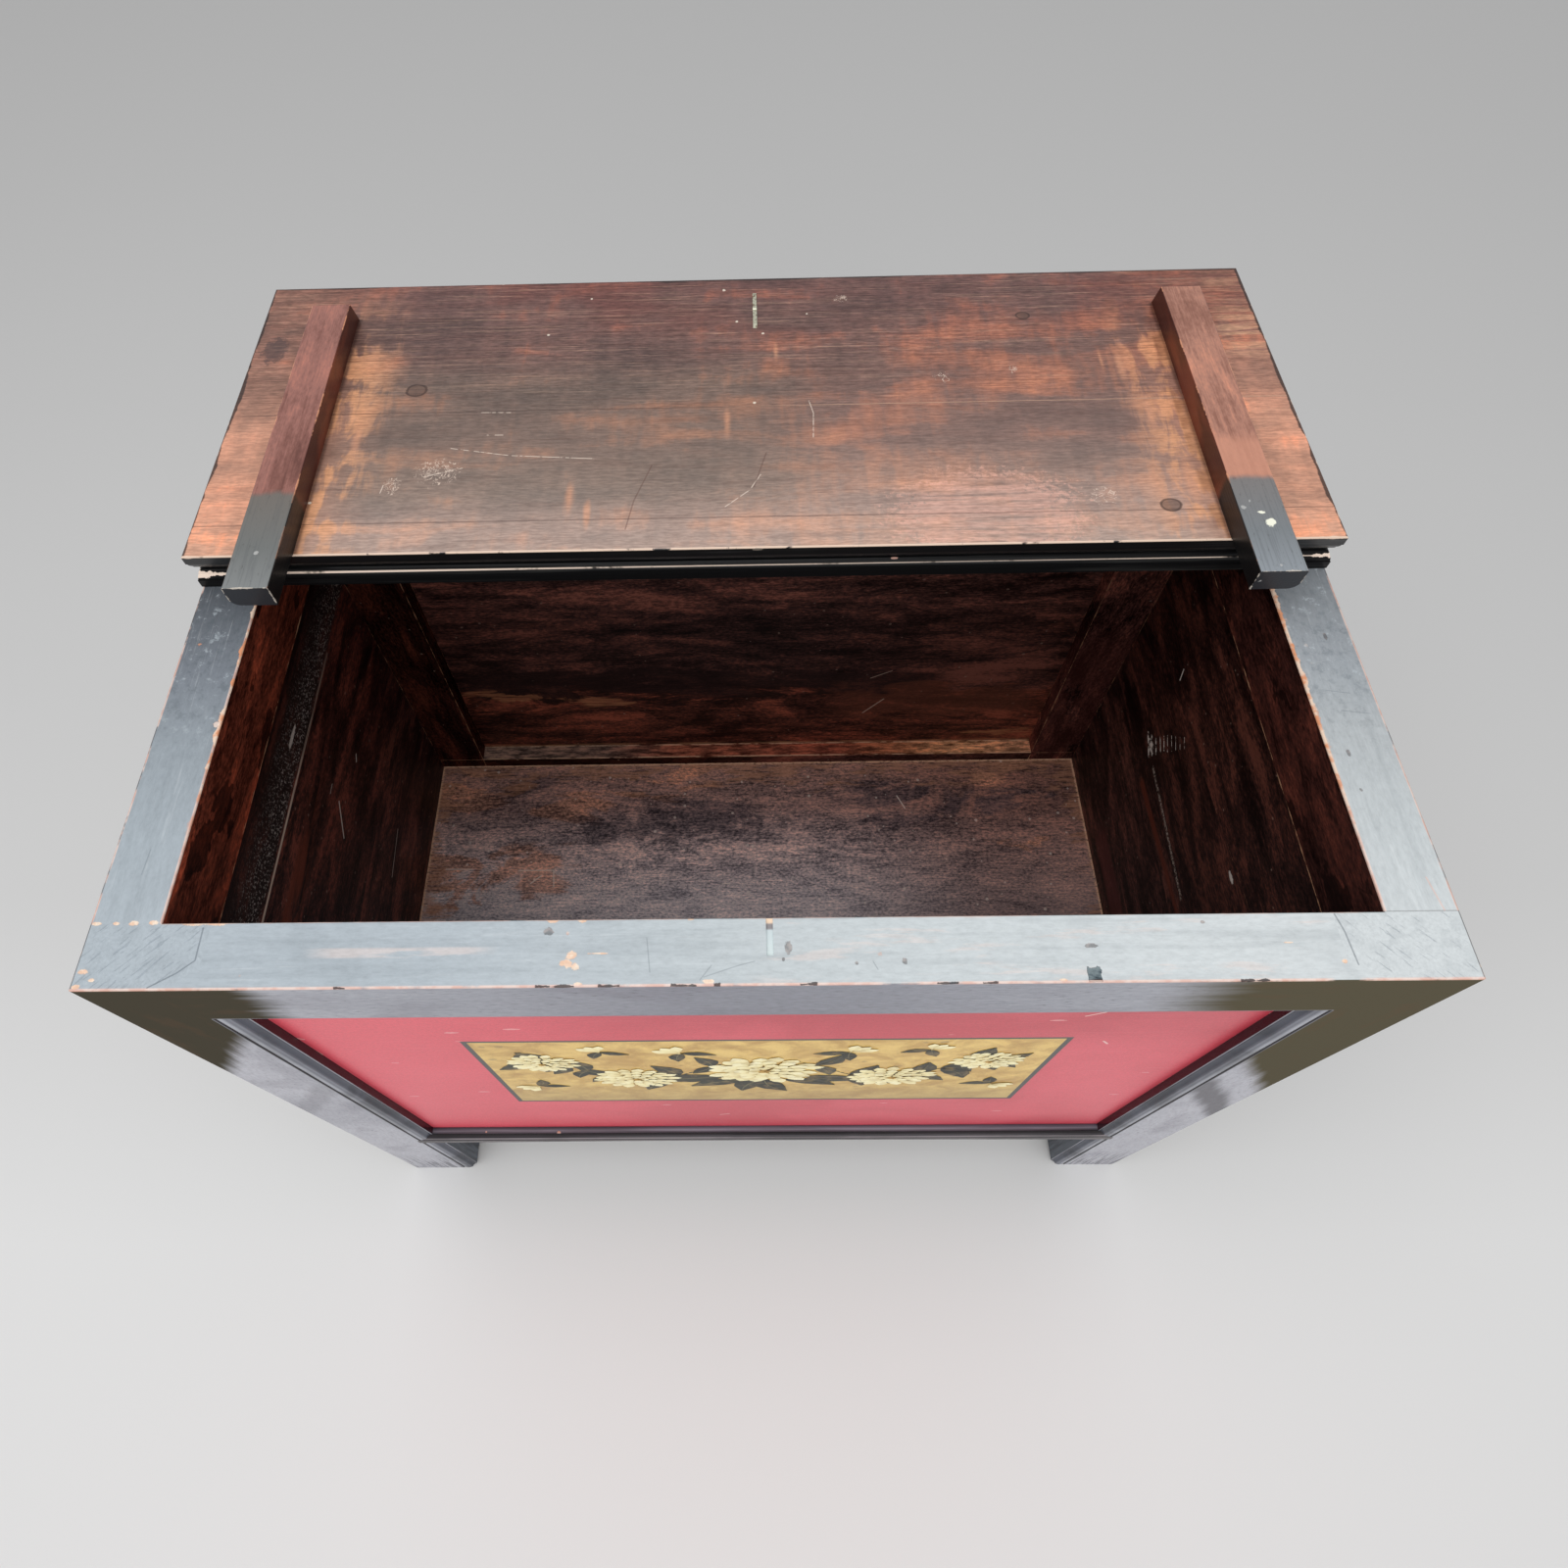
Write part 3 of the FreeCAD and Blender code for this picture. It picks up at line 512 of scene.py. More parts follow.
def inside_brown(f, grain):
    """Brown stain on the faces of the frame that look into the trunk."""
    left_half = f.step(f.x, 0.1, -0.1)
    on_rail = f.step(f.z, RIM - 0.095, RIM - 0.080)
    body = f.mix(on_rail * left_half, rgb(62, 34, 30), rgb(104, 50, 37))
    body = f.mix(f.step(f.y, 0.10, 0.16), body, f.mix(left_half, rgb(96, 60, 55), rgb(60, 32, 26)))
    brown, _, _ = stain(f, grain, 2.0, body, busy=1.0 if grain == "z" else 0.6)
    pooled = f.step(f.noise(0.045, grain, 1.8, detail=4.0, rough=0.6, seed=24.0), 0.43, 0.41)
    brown = f.mix(on_rail * pooled * 0.75, brown, rgb(22, 11, 10))
    if grain == "z":
        warm_foot = f.step(f.z, 0.64, 0.54) * f.step(f.x, -0.1, 0.1) * f.step(f.y, 0.10, 0.16)
        brown = f.mix(warm_foot * f.step(pooled, 0.9, 0.3) * 0.50, brown, rgb(84, 44, 40))
    corners = f.least(f.near_line("z", POST_INNER_BACK, BACK_INNER),
                      f.near_line("x", BACK_INNER, BACK_LEDGE))
    edges = f.least(f.near_line("z", POST_INNER_BACK, BACK_PANEL),
                    f.near_line("y", SIDE_INNER, SIDE_RAIL_UNDER + MM),
                    f.near_line("z", PANEL_INNER, BACK_INNER))
    glints = (f.worn(corners, 4 * MM, 0.34, size=0.02, seed=9.0)
              | f.worn(edges, 5 * MM, 0.42, size=0.02, seed=10.0))
    brown = f.mix(glints * 0.8, brown, rgb(196, 148, 116))
    ledge_top = f.ramp(f.x, (-0.40, rgb(126, 104, 94)), (-0.22, rgb(108, 84, 76)),
                       (-0.12, rgb(136, 79, 63)), (0.12, rgb(132, 70, 55)), (0.22, rgb(150, 96, 70)),
                       (0.30, rgb(214, 152, 112)), (0.40, rgb(176, 126, 98)))
    scraped = f.noise(0.006, "x", 5.0, detail=5.0, rough=0.75, seed=18.0)
    ledge_top = f.shade(ledge_top,
                        f.ramp(scraped, (0.36, (0.22, 0.20, 0.20)), (0.5, 0.9), (0.62, (2.3, 2.0, 1.8))))
    ledge_rims = (f.step(f.y, BACK_INNER + 3 * MM, BACK_INNER + MM)
                  | f.step(f.y, BACK_PANEL - 3 * MM, BACK_PANEL - MM))
    ledge_rims = ledge_rims * f.step(scraped, 0.42, 0.54)
    ledge_top = f.mix(ledge_rims * 0.7, ledge_top, rgb(206, 166, 138))
    dusty = f.step(f.facing_z, 0.5, 0.9) * f.step(f.z, 0.40, 0.35)
    return f.mix(dusty, brown, ledge_top)


GRAINS = {"front_top": "x", "front_low": "x", "front_post": "z",
          "side": "y", "back": "x", "back_post": "z"}


def front_face(f, grain, streaks, fine, grit):
    """Front faces, olive at the corners with a painted grey reflection between them where the lacquer is
    polished, and the polished part.
    """
    earthy = f.noise(0.018, grain, 4.0, detail=4.0, rough=0.65, seed=23.0)
    olive = f.mix(f.step(f.x, -0.1, 0.3), OLIVE_LEFT, OLIVE_RIGHT)
    olive = f.mix(f.step(earthy, 0.54, 0.68) * 0.16, olive, rgb(104, 76, 58))
    polished, darker_reflection_band = polished_front(f, streaks)
    # Painted reflection of the pale floor in the polished lacquer, lighter towards the outer ends.
    painted_reflection = f.ramp(f.across, (0.06, rgb(134, 136, 145)), (0.30, rgb(157, 159, 167)),
                   (0.42, rgb(170, 171, 179)), (0.46, rgb(177, 177, 185)))
    blotches = f.noise(0.06, grain, 2.0, detail=3.0, twist=0.5, seed=4.0)
    painted_reflection = f.mix(f.step(blotches, 0.54, 0.30) * 0.38, painted_reflection, rgb(118, 116, 126))
    painted_reflection = f.mix(f.step(fine, 0.62, 0.76) * 0.25, painted_reflection, rgb(200, 200, 206))
    painted_reflection = f.mix(f.step(grit, 0.40, 0.26) * 0.40, painted_reflection, rgb(90, 88, 92))
    painted_reflection = f.mix(darker_reflection_band, painted_reflection, rgb(96, 94, 100))
    foot = f.between(f.z, 0.39, 0.50, 0.06) * f.step(f.x, 0.0, -0.1) * f.step(f.across, *POST_FLAT)
    painted_reflection = f.mix(foot * 0.28, painted_reflection, rgb(126, 126, 136))
    scraped = f.step(f.z, 0.15, 0.03) * f.step(fine, 0.54, 0.42)
    painted_reflection = f.mix(scraped * 0.6, painted_reflection, rgb(58, 56, 62))
    painted_reflection = f.shade(painted_reflection, f.ramp(grit, (0.28, 0.86), (0.72, 1.14)))
    return f.mix(polished, olive, painted_reflection), polished


def moulded_front(f, grain, outside, streaks):
    """Add the moulding with its painted light and shade, the maroon recess inside it, the ledge under
    the panel with painted shade and a painted highlight, the side of the leg.
    """
    blotches = f.noise(0.06, grain, 2.0, detail=3.0, twist=0.5, seed=4.0)
    # Painted light and shade across the moulding's profile, varied in blotches.
    moulding, on_moulding = moulding_shading(f, grain)
    moulding = f.shade(moulding, f.mix(f.step(blotches, 0.38, 0.60), 0.62, 1.20))
    facing_out = f.step(f.facing_y, -0.15, -0.4)
    outside = f.mix(facing_out * on_moulding * f.step(f.y, PANEL_FACE, PANEL_FACE - MM), outside,
                    moulding)
    if grain == "x":
        ledge = (f.step(f.facing_z, 0.5, 0.9) * f.step(f.z, FLOOR_TOP + 0.01, FLOOR_TOP + 0.005)
                 * f.step(f.y, PANEL_FACE + MM, PANEL_FACE))
        # Across the ledge: painted shade at the foot of the panel, a painted highlight band, and painted
        # shade at the lip.
        tone = f.ramp(PANEL_FACE - f.y, (0.0, rgb(58, 48, 56)), (0.0022, rgb(84, 82, 92)),
                      (0.0045, rgb(122, 124, 134)), (0.0062, rgb(84, 84, 92)), (0.0080, rgb(38, 36, 41)))
        tone = f.shade(tone, f.mix(f.step(streaks, 0.38, 0.62), 0.72, 1.28))
        return f.mix(ledge, outside, tone)
    side_face = f.step(abs(f.facing_x), 0.6, 0.9)
    inner_side = (side_face * f.step(f.across, POST_INNER + MM, POST_INNER + 0.4 * MM)
                  * f.step(f.z, RAIL_UNDER, RAIL_UNDER - MM))
    slate = f.mix(f.step(streaks, 0.40, 0.62), rgb(40, 46, 56), rgb(84, 90, 100))
    above_floor = f.step(f.z, LEGS_TOP - MM, LEGS_TOP + MM)
    return f.mix(inner_side, outside, f.mix(above_floor, slate, MAROON))


def post_strokes(f):
    """Dark diagonal strokes on the tops of the front posts, over the ends of the front rail."""
    diagonal = f.across + f.y
    along = f.y - f.across
    turned = f.value(f.node("ShaderNodeCombineXYZ", diagonal, along, f.z))
    strokes = f.noise(0.0028, "y", 9.0, detail=3.0, place=turned)
    strokes = strokes + f.step(f.x, -0.1, 0.1) * 0.03
    on_post = f.step(f.across + f.y * 0.25, 0.333, 0.338) * f.step(f.y, FRONT_INNER, FRONT_INNER - MM)
    return on_post * f.step(strokes, 0.42, 0.34)


def bare_arrises(f, member):
    """Where the lacquer is rubbed through: thin along the arrises, and worn off in patches."""
    corner = (SIDE_INNER, FRONT_INNER, RIM)
    inner_front = f.near_segment((0.0, FRONT_INNER, RIM), corner, place=f.folded)
    inner_side_line = f.near_segment(corner, (SIDE_INNER, BACK_INNER, RIM), place=f.folded)
    inner_lines = f.least(inner_front, inner_side_line)
    sparse = f.noise(0.035, detail=4.0, rough=0.6, seed=16.0)
    thin = f.step(inner_lines, 1.3 * MM, 0.6 * MM) * f.step(sparse, 0.42, 0.54) * 0.8
    rubbed = f.worn(inner_lines, 6 * MM, 0.54, size=0.014) * 0.8
    if member == "side":
        thin = thin | f.step(inner_side_line, 2.0 * MM, 1.0 * MM) * f.step(sparse, 0.26, 0.38)
        outer_arris = f.near_line("y", HALF_WIDTH, RIM)
        thin = thin | f.step(outer_arris, 2.4 * MM, 1.4 * MM) * f.step(sparse, 0.42, 0.52)
        right_line = f.step(f.x, 0.30, 0.44) * f.step(f.y, -0.27, -0.18) * f.step(sparse, 0.30, 0.40)
        rubbed = rubbed | right_line * f.step(inner_side_line, 2.6 * MM, 1.4 * MM)
        right_far = f.step(f.x, 0.30, 0.44) * f.step(f.y, -0.22, -0.10)
        rubbed = rubbed | right_far * f.worn(inner_side_line, 14 * MM, 0.31, size=0.012, seed=3.0)
        left_far = f.step(f.x, -0.30, -0.44) * f.step(f.y, -0.27, -0.16)
        rubbed = rubbed | left_far * f.worn(inner_side_line, 14 * MM, 0.38, size=0.020, seed=11.0)
    if member.startswith("front"):
        front_line = f.near_line("x", FRONT, RIM)
        thin = thin | f.step(front_line, 2.2 * MM, 1.0 * MM) * f.step(sparse, 0.32, 0.46)
        rubbed = rubbed | f.worn(front_line, 5 * MM, 0.50, size=0.025, seed=2.0)
    if member != "front_top":
        outer_lines = f.least(f.near_line("y", HALF_WIDTH, RIM), f.near_line("z", HALF_WIDTH, FRONT),
                              f.near_line("z", HALF_WIDTH, BACK))
        rubbed = rubbed | f.worn(outer_lines, 6 * MM, 0.46, size=0.018, seed=5.0)
    return thin, rubbed


def front_arris_chips(f, outside):
    """Short black chips along the front arris of the rim."""
    wander = (f.noise(0.006, detail=3.0, seed=8.0) - 0.5) * 0.004
    place = f.x + wander
    chips = f.any_of(f.between(place, start, end, 0.6 * MM) for start, end in ARRIS_GAPS)
    front_line = f.near_line("x", FRONT, RIM)
    chips = chips * f.step(front_line + wander, 1.6 * MM, 1.0 * MM)
    return f.mix(chips * 0.85, outside, rgb(26, 30, 36))


def pin_slot(f, colour):
    """Pale bare wood in the slot that takes the split pin."""
    slot = (f.between(f.x, 0.0, SLOT_WIDTH, 0.8 * MM)
            * f.between(f.y, FRONT_INNER - SLOT_LENGTH, FRONT_INNER, MM)
            * f.between(f.z, RIM - SLOT_DEPTH, RIM - 0.6 * MM, 0.4 * MM))
    tone = f.ramp(f.y, (-0.3370, rgb(216, 226, 226)), (-0.3170, rgb(204, 214, 217)),
                  (-0.3155, rgb(150, 146, 148)), (-0.3125, rgb(150, 146, 148)),
                  (-0.3110, rgb(238, 214, 190)), (-0.3080, rgb(238, 214, 190)))
    return f.mix(slot, colour, tone)


def frame_lacquer(member):
    """Black lacquer with a painted grey reflection on top and on the polished front, rubbed to the
    ground along the arrises; brown stain inside.
    """
    grain = GRAINS[member]
    front = member.startswith("front")
    f = Finish("black_lacquer_" + member, roughness=0.45, specular=0.0, coat_roughness=0.18)
    streaks = f.noise(0.010, grain, 22.0, detail=5.0)
    fine = f.noise(0.0024, grain, 30.0, detail=3.0)
    grit = f.noise(0.0026, grain, 3.0, detail=3.0, rough=0.7, seed=28.0)
    clouds = f.noise(0.11, detail=4.0, twist=0.8)
    greyed = f.step(streaks, 0.40, 0.66) * f.step(clouds, 0.4, 0.6) * 0.3
    outside = f.mix(greyed, rgb(50, 48, 43), rgb(96, 95, 93))
    gloss = FRAME_COAT
    if front:
        on_front = f.step(f.facing_y, -0.55, -0.8)
        face, polished = front_face(f, grain, streaks, fine, grit)
        outside = f.mix(on_front, outside, face)
        gloss = f.mix(on_front, FRAME_COAT, polished * 0.34 + 0.03)
    if member in ("front_low", "front_post"):
        outside = moulded_front(f, grain, outside, streaks)

    relief = fine * 0.5
    if member not in ("front_low", "back"):
        on_top = f.step(f.facing_z, 0.6, 0.9) * f.step(f.z, RIM - 3 * MM, RIM - MM)
        top, dents = rim_marks(f, rim_painted_sheen(f, streaks, fine, clouds), grain)
        if member == "front_post":
            strokes = post_strokes(f)
            top = f.mix(strokes * 0.38, top, rgb(122, 132, 142))
            dents = dents + strokes * -0.6
        top = f.shade(top, f.ramp(grit, (0.28, 0.90), (0.5, 1.0), (0.72, 1.08)))
        outside = f.mix(on_top, outside, top)
        gloss = gloss * (1 - on_top * 0.5)
        relief = relief + dents * on_top

    if member in ("side", "front_post", "back_post"):
        outer_arris = f.near_line("y", HALF_WIDTH, RIM)
        outside = f.mix(f.step(outer_arris, 1.8 * MM, 1.0 * MM) * 0.7, outside, rgb(74, 68, 66))
    thin, rubbed = bare_arrises(f, member)
    tint = f.noise(0.012, detail=3.0, seed=14.0)
    outside = f.mix(thin * 0.75, outside, f.mix(f.step(tint, 0.40, 0.60), rgb(232, 204, 192), ROSE))
    outside = f.mix(rubbed, outside, f.mix(f.step(tint, 0.40, 0.58), CREAM, ORANGE))
    chips = f.flecks(0.009, 0.05, seed=1.0) * f.step(clouds, 0.50, 0.60)
    if front:
        chips = chips * (1 - on_front)
    outside = f.mix(chips * 0.7, outside, f.mix(f.step(tint, 0.4, 0.6), rgb(236, 214, 200), ORANGE))
    relief = relief + rubbed * -0.8 + chips * -1.0
    gloss = gloss * (1 - rubbed)
    if member == "front_top":
        outside = front_arris_chips(f, outside)

    inside = (f.step(f.across, PANEL_INNER + MM, PANEL_INNER)
              * f.step(f.y, PANEL_FACE + 0.006, PANEL_FACE + 0.008)
              * f.step(f.y, BACK_PANEL + MM, BACK_PANEL) * f.step(f.z, RIM - 1.2 * MM, RIM - 2 * MM)
              * f.step(f.z, LEGS_TOP - MM, LEGS_TOP)
              * (f.step(f.across, SIDE_INNER + 2 * MM, SIDE_INNER + MM)
                 | f.step(abs(f.facing_x), 0.8, 0.5)))
    colour = f.mix(inside, outside, inside_brown(f, grain))
    gloss = gloss * (1 - inside * 0.8)
    if member == "front_top":
        colour = pin_slot(f, colour)
    f.set("Coat Weight", gloss)
    f.relief(relief, 0.25 * MM)
    return f.done(colour)


# ---------------------------------------------------------------- stained boards inside
def outer_lacquer(f, colour, grain, seed):
    """The outer face of a board, lacquered black like the frame."""
    outer = (f.step(f.facing_x, 0.5, 0.8) * f.step(f.x, 0.0, 0.1)
             | f.step(f.facing_x, -0.5, -0.8) * f.step(f.x, 0.0, -0.1)
             | f.step(f.facing_y, 0.5, 0.8) * f.step(f.y, 0.1, 0.15) | f.step(f.facing_z, -0.5, -0.8))
    streaks = f.noise(0.012, grain, 25.0, detail=5.0, seed=seed)
    black = f.mix(f.step(streaks, 0.44, 0.74) * 0.32, rgb(36, 34, 31), rgb(78, 74, 68))
    black = f.mix(f.flecks(0.014, 0.03, seed=seed + 5) * 0.6, black, ORANGE)
    return f.mix(outer, colour, black)


# Scuff: lines on the right wall from one y, z to another, width in mm. Joints: x of the wall, heights
# of the front and the back end. Scratches: from one x, y, z to another, width in mm.
SCUFF = (
    ((0.0420, 0.5530), (0.0180, 0.5380), 2.6), ((0.0330, 0.5610), (0.0150, 0.5480), 2.4),
    ((0.0240, 0.5700), (0.0100, 0.5600), 2.0), ((0.0200, 0.5830), (0.0060, 0.5740), 1.6),
    ((0.0150, 0.5930), (0.0020, 0.5840), 1.4), ((0.0110, 0.6030), (-0.0040, 0.5920), 1.1),
    ((0.0050, 0.6130), (-0.0090, 0.6030), 1.0), ((-0.0010, 0.6230), (-0.0130, 0.6140), 0.9),
    ((-0.0070, 0.6330), (-0.0180, 0.6250), 0.8), ((-0.0130, 0.6430), (-0.0230, 0.6360), 0.7),
)
WALL_JOINTS = ((-PANEL_INNER, 0.488, 0.480), (PANEL_INNER, 0.690, 0.641), (PANEL_INNER, 0.476, 0.512))
WALL_SCRATCHES = (
    ((-PANEL_INNER, -0.0630, 0.6118), (-PANEL_INNER, -0.0918, 0.5776), 1.6),
    ((-PANEL_INNER, -0.0095, 0.4115), (-PANEL_INNER, -0.0710, 0.4015), 0.9),
    ((-PANEL_INNER, 0.0060, 0.5930), (-PANEL_INNER, -0.0010, 0.5880), 1.6),
    ((-PANEL_INNER, -0.0547, 0.6397), (-PANEL_INNER, -0.0660, 0.6390), 0.7),
    ((PANEL_INNER, 0.0489, 0.6856), (PANEL_INNER, 0.0447, 0.6697), 1.2),
)


def side_board(name, seed):
    """A board of a side: red-brown, greyer lower down, with light scratches and rubbed joints."""
    f = Finish(name, roughness=0.45, specular=0.06, coat=0.05, coat_roughness=0.3)
    low = f.step(f.z, 0.62, 0.40)
    right = f.step(f.x, -0.1, 0.1)
    left = 1 - right
    body = f.mix(right, rgb(78, 43, 38), rgb(61, 36, 32))
    # Darker low at the back of the left wall: painted shade in the deep corner.
    deep = left * f.step(f.y, 0.02, 0.09) * f.step(f.z, 0.60, 0.54)
    body = f.mix(deep * 0.6, body, rgb(26, 16, 15))
    body = f.mix(low * 0.5, body, rgb(74, 50, 48))
    black_board = right * f.between(f.z, 0.540, 0.630, 0.02) * f.step(f.y, 0.05, -0.12)
    body = f.mix(black_board * 0.20, body, rgb(28, 15, 14))
    colour, fine, wiped = stain(f, "y", seed, body, busy=1.25)

    speckle = f.noise(0.0026, detail=2.0, rough=0.7, seed=seed + 6.0)
    hot = left * f.between(f.z, 0.655, 0.680, 0.010) * f.step(f.y, 0.0, -0.1) * f.step(wiped, 0.40, 0.52)
    colour = f.mix(hot * 0.8, colour, rgb(124, 58, 40))
    shaded = left * f.step(f.z, 0.790, 0.800)
    colour = f.mix(shaded * 0.7, colour, rgb(26, 15, 14))
    dusty = left * f.step(f.z, 0.815, 0.775) * f.step(f.z, 0.728, 0.734)
    colour = f.mix(dusty * 0.8, colour, rgb(30, 22, 21))
    powdered = dusty * f.step(speckle, 0.54, 0.66) * f.step(f.z, 0.800, 0.742)
    colour = f.mix(powdered * 0.8, colour, rgb(206, 196, 190))
    ember = f.near_segment((PANEL_INNER, 0.000, 0.498), (PANEL_INNER, -0.190, 0.512))
    ember = f.step(ember + (wiped - 0.5) * 0.02, 9 * MM, 2 * MM)
    colour = f.mix(ember * 0.75, colour, rgb(112, 52, 36))
    strip = right * f.between(f.z, 0.300, 0.335, 0.01) * f.step(f.y, 0.03, 0.0)
    colour = f.mix(strip * 0.6, colour, rgb(104, 52, 50))

    joint = f.least(*[f.near_segment((side, FRONT_INNER, front), (side, BACK_INNER, back))
                      for side, front, back in WALL_JOINTS])
    light = f.worn(joint, 4 * MM, 0.47, size=0.014, seed=3.0)
    colour = f.mix(light * 0.55, colour, rgb(164, 116, 90))
    upper_left = f.near_segment((-PANEL_INNER, -0.30, 0.724), (-PANEL_INNER, 0.06, 0.7260))
    upper_left = f.step(upper_left, 2.6 * MM, 1.4 * MM) * f.step(fine, 0.34, 0.46)
    upper_left = upper_left * f.ramp(f.y, (-0.15, 0.95), (0.05, 0.25))
    colour = f.mix(upper_left, colour, rgb(232, 208, 190))
    powder = f.near_segment((PANEL_INNER, 0.0, 0.5423), (PANEL_INNER, -0.155, 0.5300))
    powder = f.step(powder, 4 * MM, MM) * f.step(speckle, 0.42, 0.58)
    colour = f.mix(powder * 0.8, colour, rgb(196, 180, 168))

    strokes = f.any_of(f.stroke(start, end, width * MM) for start, end, width in WALL_SCRATCHES)
    scuff = f.any_of(f.stroke((PANEL_INNER, *start), (PANEL_INNER, *end), width * MM)
                     for start, end, width in SCUFF)
    scuff = scuff | f.spot((PANEL_INNER, 0.026, 0.552), 9 * MM, (1.0, 0.8, 1.2), ragged=0.5)
    broken = f.step(f.noise(0.007, detail=5.0, rough=0.8, seed=9.0), 0.44, 0.52)
    patch = f.spot((-PANEL_INNER, -0.0595, 0.7570), 0.016, (1.0, 1.0, 4.5), ragged=0.25)
    nick = f.spot((PANEL_INNER, -0.1805, 0.6617), 0.0055, (1.0, 0.7, 1.5), ragged=0.4)
    marks = strokes * 0.9 | scuff * broken | patch * 0.7 | nick * 0.8
    colour = f.mix(marks, colour, rgb(250, 238, 228))
    f.relief(fine + light * -1.0, 0.2 * MM)
    return f.done(outer_lacquer(f, colour, "y", seed))


def back_board():
    """The back panel: wavy dark stain with a warmer, rubbed lower part."""
    f = Finish("back_panel_stain", roughness=0.45, specular=0.08, coat=0.06, coat_roughness=0.3)
    waves = f.noise(0.06, "x", 3.0, detail=5.0, twist=1.5, seed=15.0)
    swing = (waves - 0.5) * 0.16
    level = f.z + swing
    lower = f.step(level, 0.445, 0.425)
    body = f.mix(lower, rgb(79, 50, 46), rgb(100, 56, 46))
    # Lighter towards the top: painted light where the lid's shade falls.
    body = f.mix(f.step(f.z, 0.58, 0.68) * 0.7, body, rgb(112, 74, 68))
    colour, fine, _ = stain(f, "x", 0.0, body)
    pool = f.between(level, 0.430, 0.478, 0.010) * f.between(f.x, -0.36, 0.22, 0.06)
    colour = f.mix(pool * 0.72, colour, rgb(38, 23, 23))
    colour = f.mix(f.between(level, 0.424, 0.428, 0.004) * 0.6, colour, rgb(24, 14, 13))
    streak = f.least(f.near_segment((-0.385, BACK_PANEL, 0.438), (-0.286, BACK_PANEL, 0.425)),
                     f.near_segment((-0.286, BACK_PANEL, 0.425), (-0.172, BACK_PANEL, 0.406)))
    streak = f.step(streak + swing * 0.6, 9 * MM, 3 * MM)
    colour = f.mix(streak * f.step(fine, 0.36, 0.56) * 0.85, colour, rgb(190, 126, 90))
    rust = f.near_segment((0.300, BACK_PANEL, 0.308), (0.392, BACK_PANEL, 0.314))
    rust = f.step(rust + swing * 0.8, 10 * MM, 2 * MM)
    colour = f.mix(rust * f.step(fine, 0.40, 0.58) * 0.8, colour, rgb(196, 132, 92))
    warm = f.between(f.x, 0.15, 0.36, 0.06) * f.between(level, 0.375, 0.43, 0.02)
    colour = f.mix(warm * 0.45, colour, rgb(128, 74, 56))
    foot = f.step(f.z, 0.292, 0.287) * f.step(fine, 0.42, 0.56)
    colour = f.mix(foot * 0.7, colour, rgb(190, 140, 104))
    strokes = (f.stroke((0.152, BACK_PANEL, 0.372), (0.178, BACK_PANEL, 0.410), 1.4 * MM)
               | f.stroke((0.155, BACK_PANEL, 0.466), (0.182, BACK_PANEL, 0.484), 0.9 * MM))
    colour = f.mix(strokes * 0.8, colour, rgb(206, 180, 164))
    f.relief(fine, 0.2 * MM)
    return f.done(outer_lacquer(f, colour, "x", 1.0))


# Scratches: from one x, y to another.
FLOOR_SCRATCHES = (
    ((-0.3380, -0.0105), (-0.2889, -0.0106)), ((-0.2889, -0.0106), (-0.2867, -0.0351)),
    ((-0.4428, -0.0074), (-0.4050, -0.0080)), ((0.2049, 0.0980), (0.2150, 0.0780)),
    ((-0.0500, -0.0334), (-0.0400, -0.0325)), ((-0.3200, -0.0300), (-0.3050, -0.0180)),
)
# Rusty and dark places: x, y, reach.
FLOOR_RUST = (
    (-0.443, -0.004, 0.030), (-0.418, -0.034, 0.024), (-0.320, -0.015, 0.040), (-0.432, 0.118, 0.026),
    (-0.248, 0.104, 0.030), (-0.104, 0.132, 0.030), (0.342, 0.120, 0.026), (0.452, -0.022, 0.020),
    (0.401, 0.030, 0.026),
)
FLOOR_POOLS = (
    (-0.338, 0.132, 0.022), (-0.180, 0.050, 0.026), (-0.074, 0.070, 0.030), (0.181, 0.085, 0.034),
    (0.348, 0.088, 0.036),
)


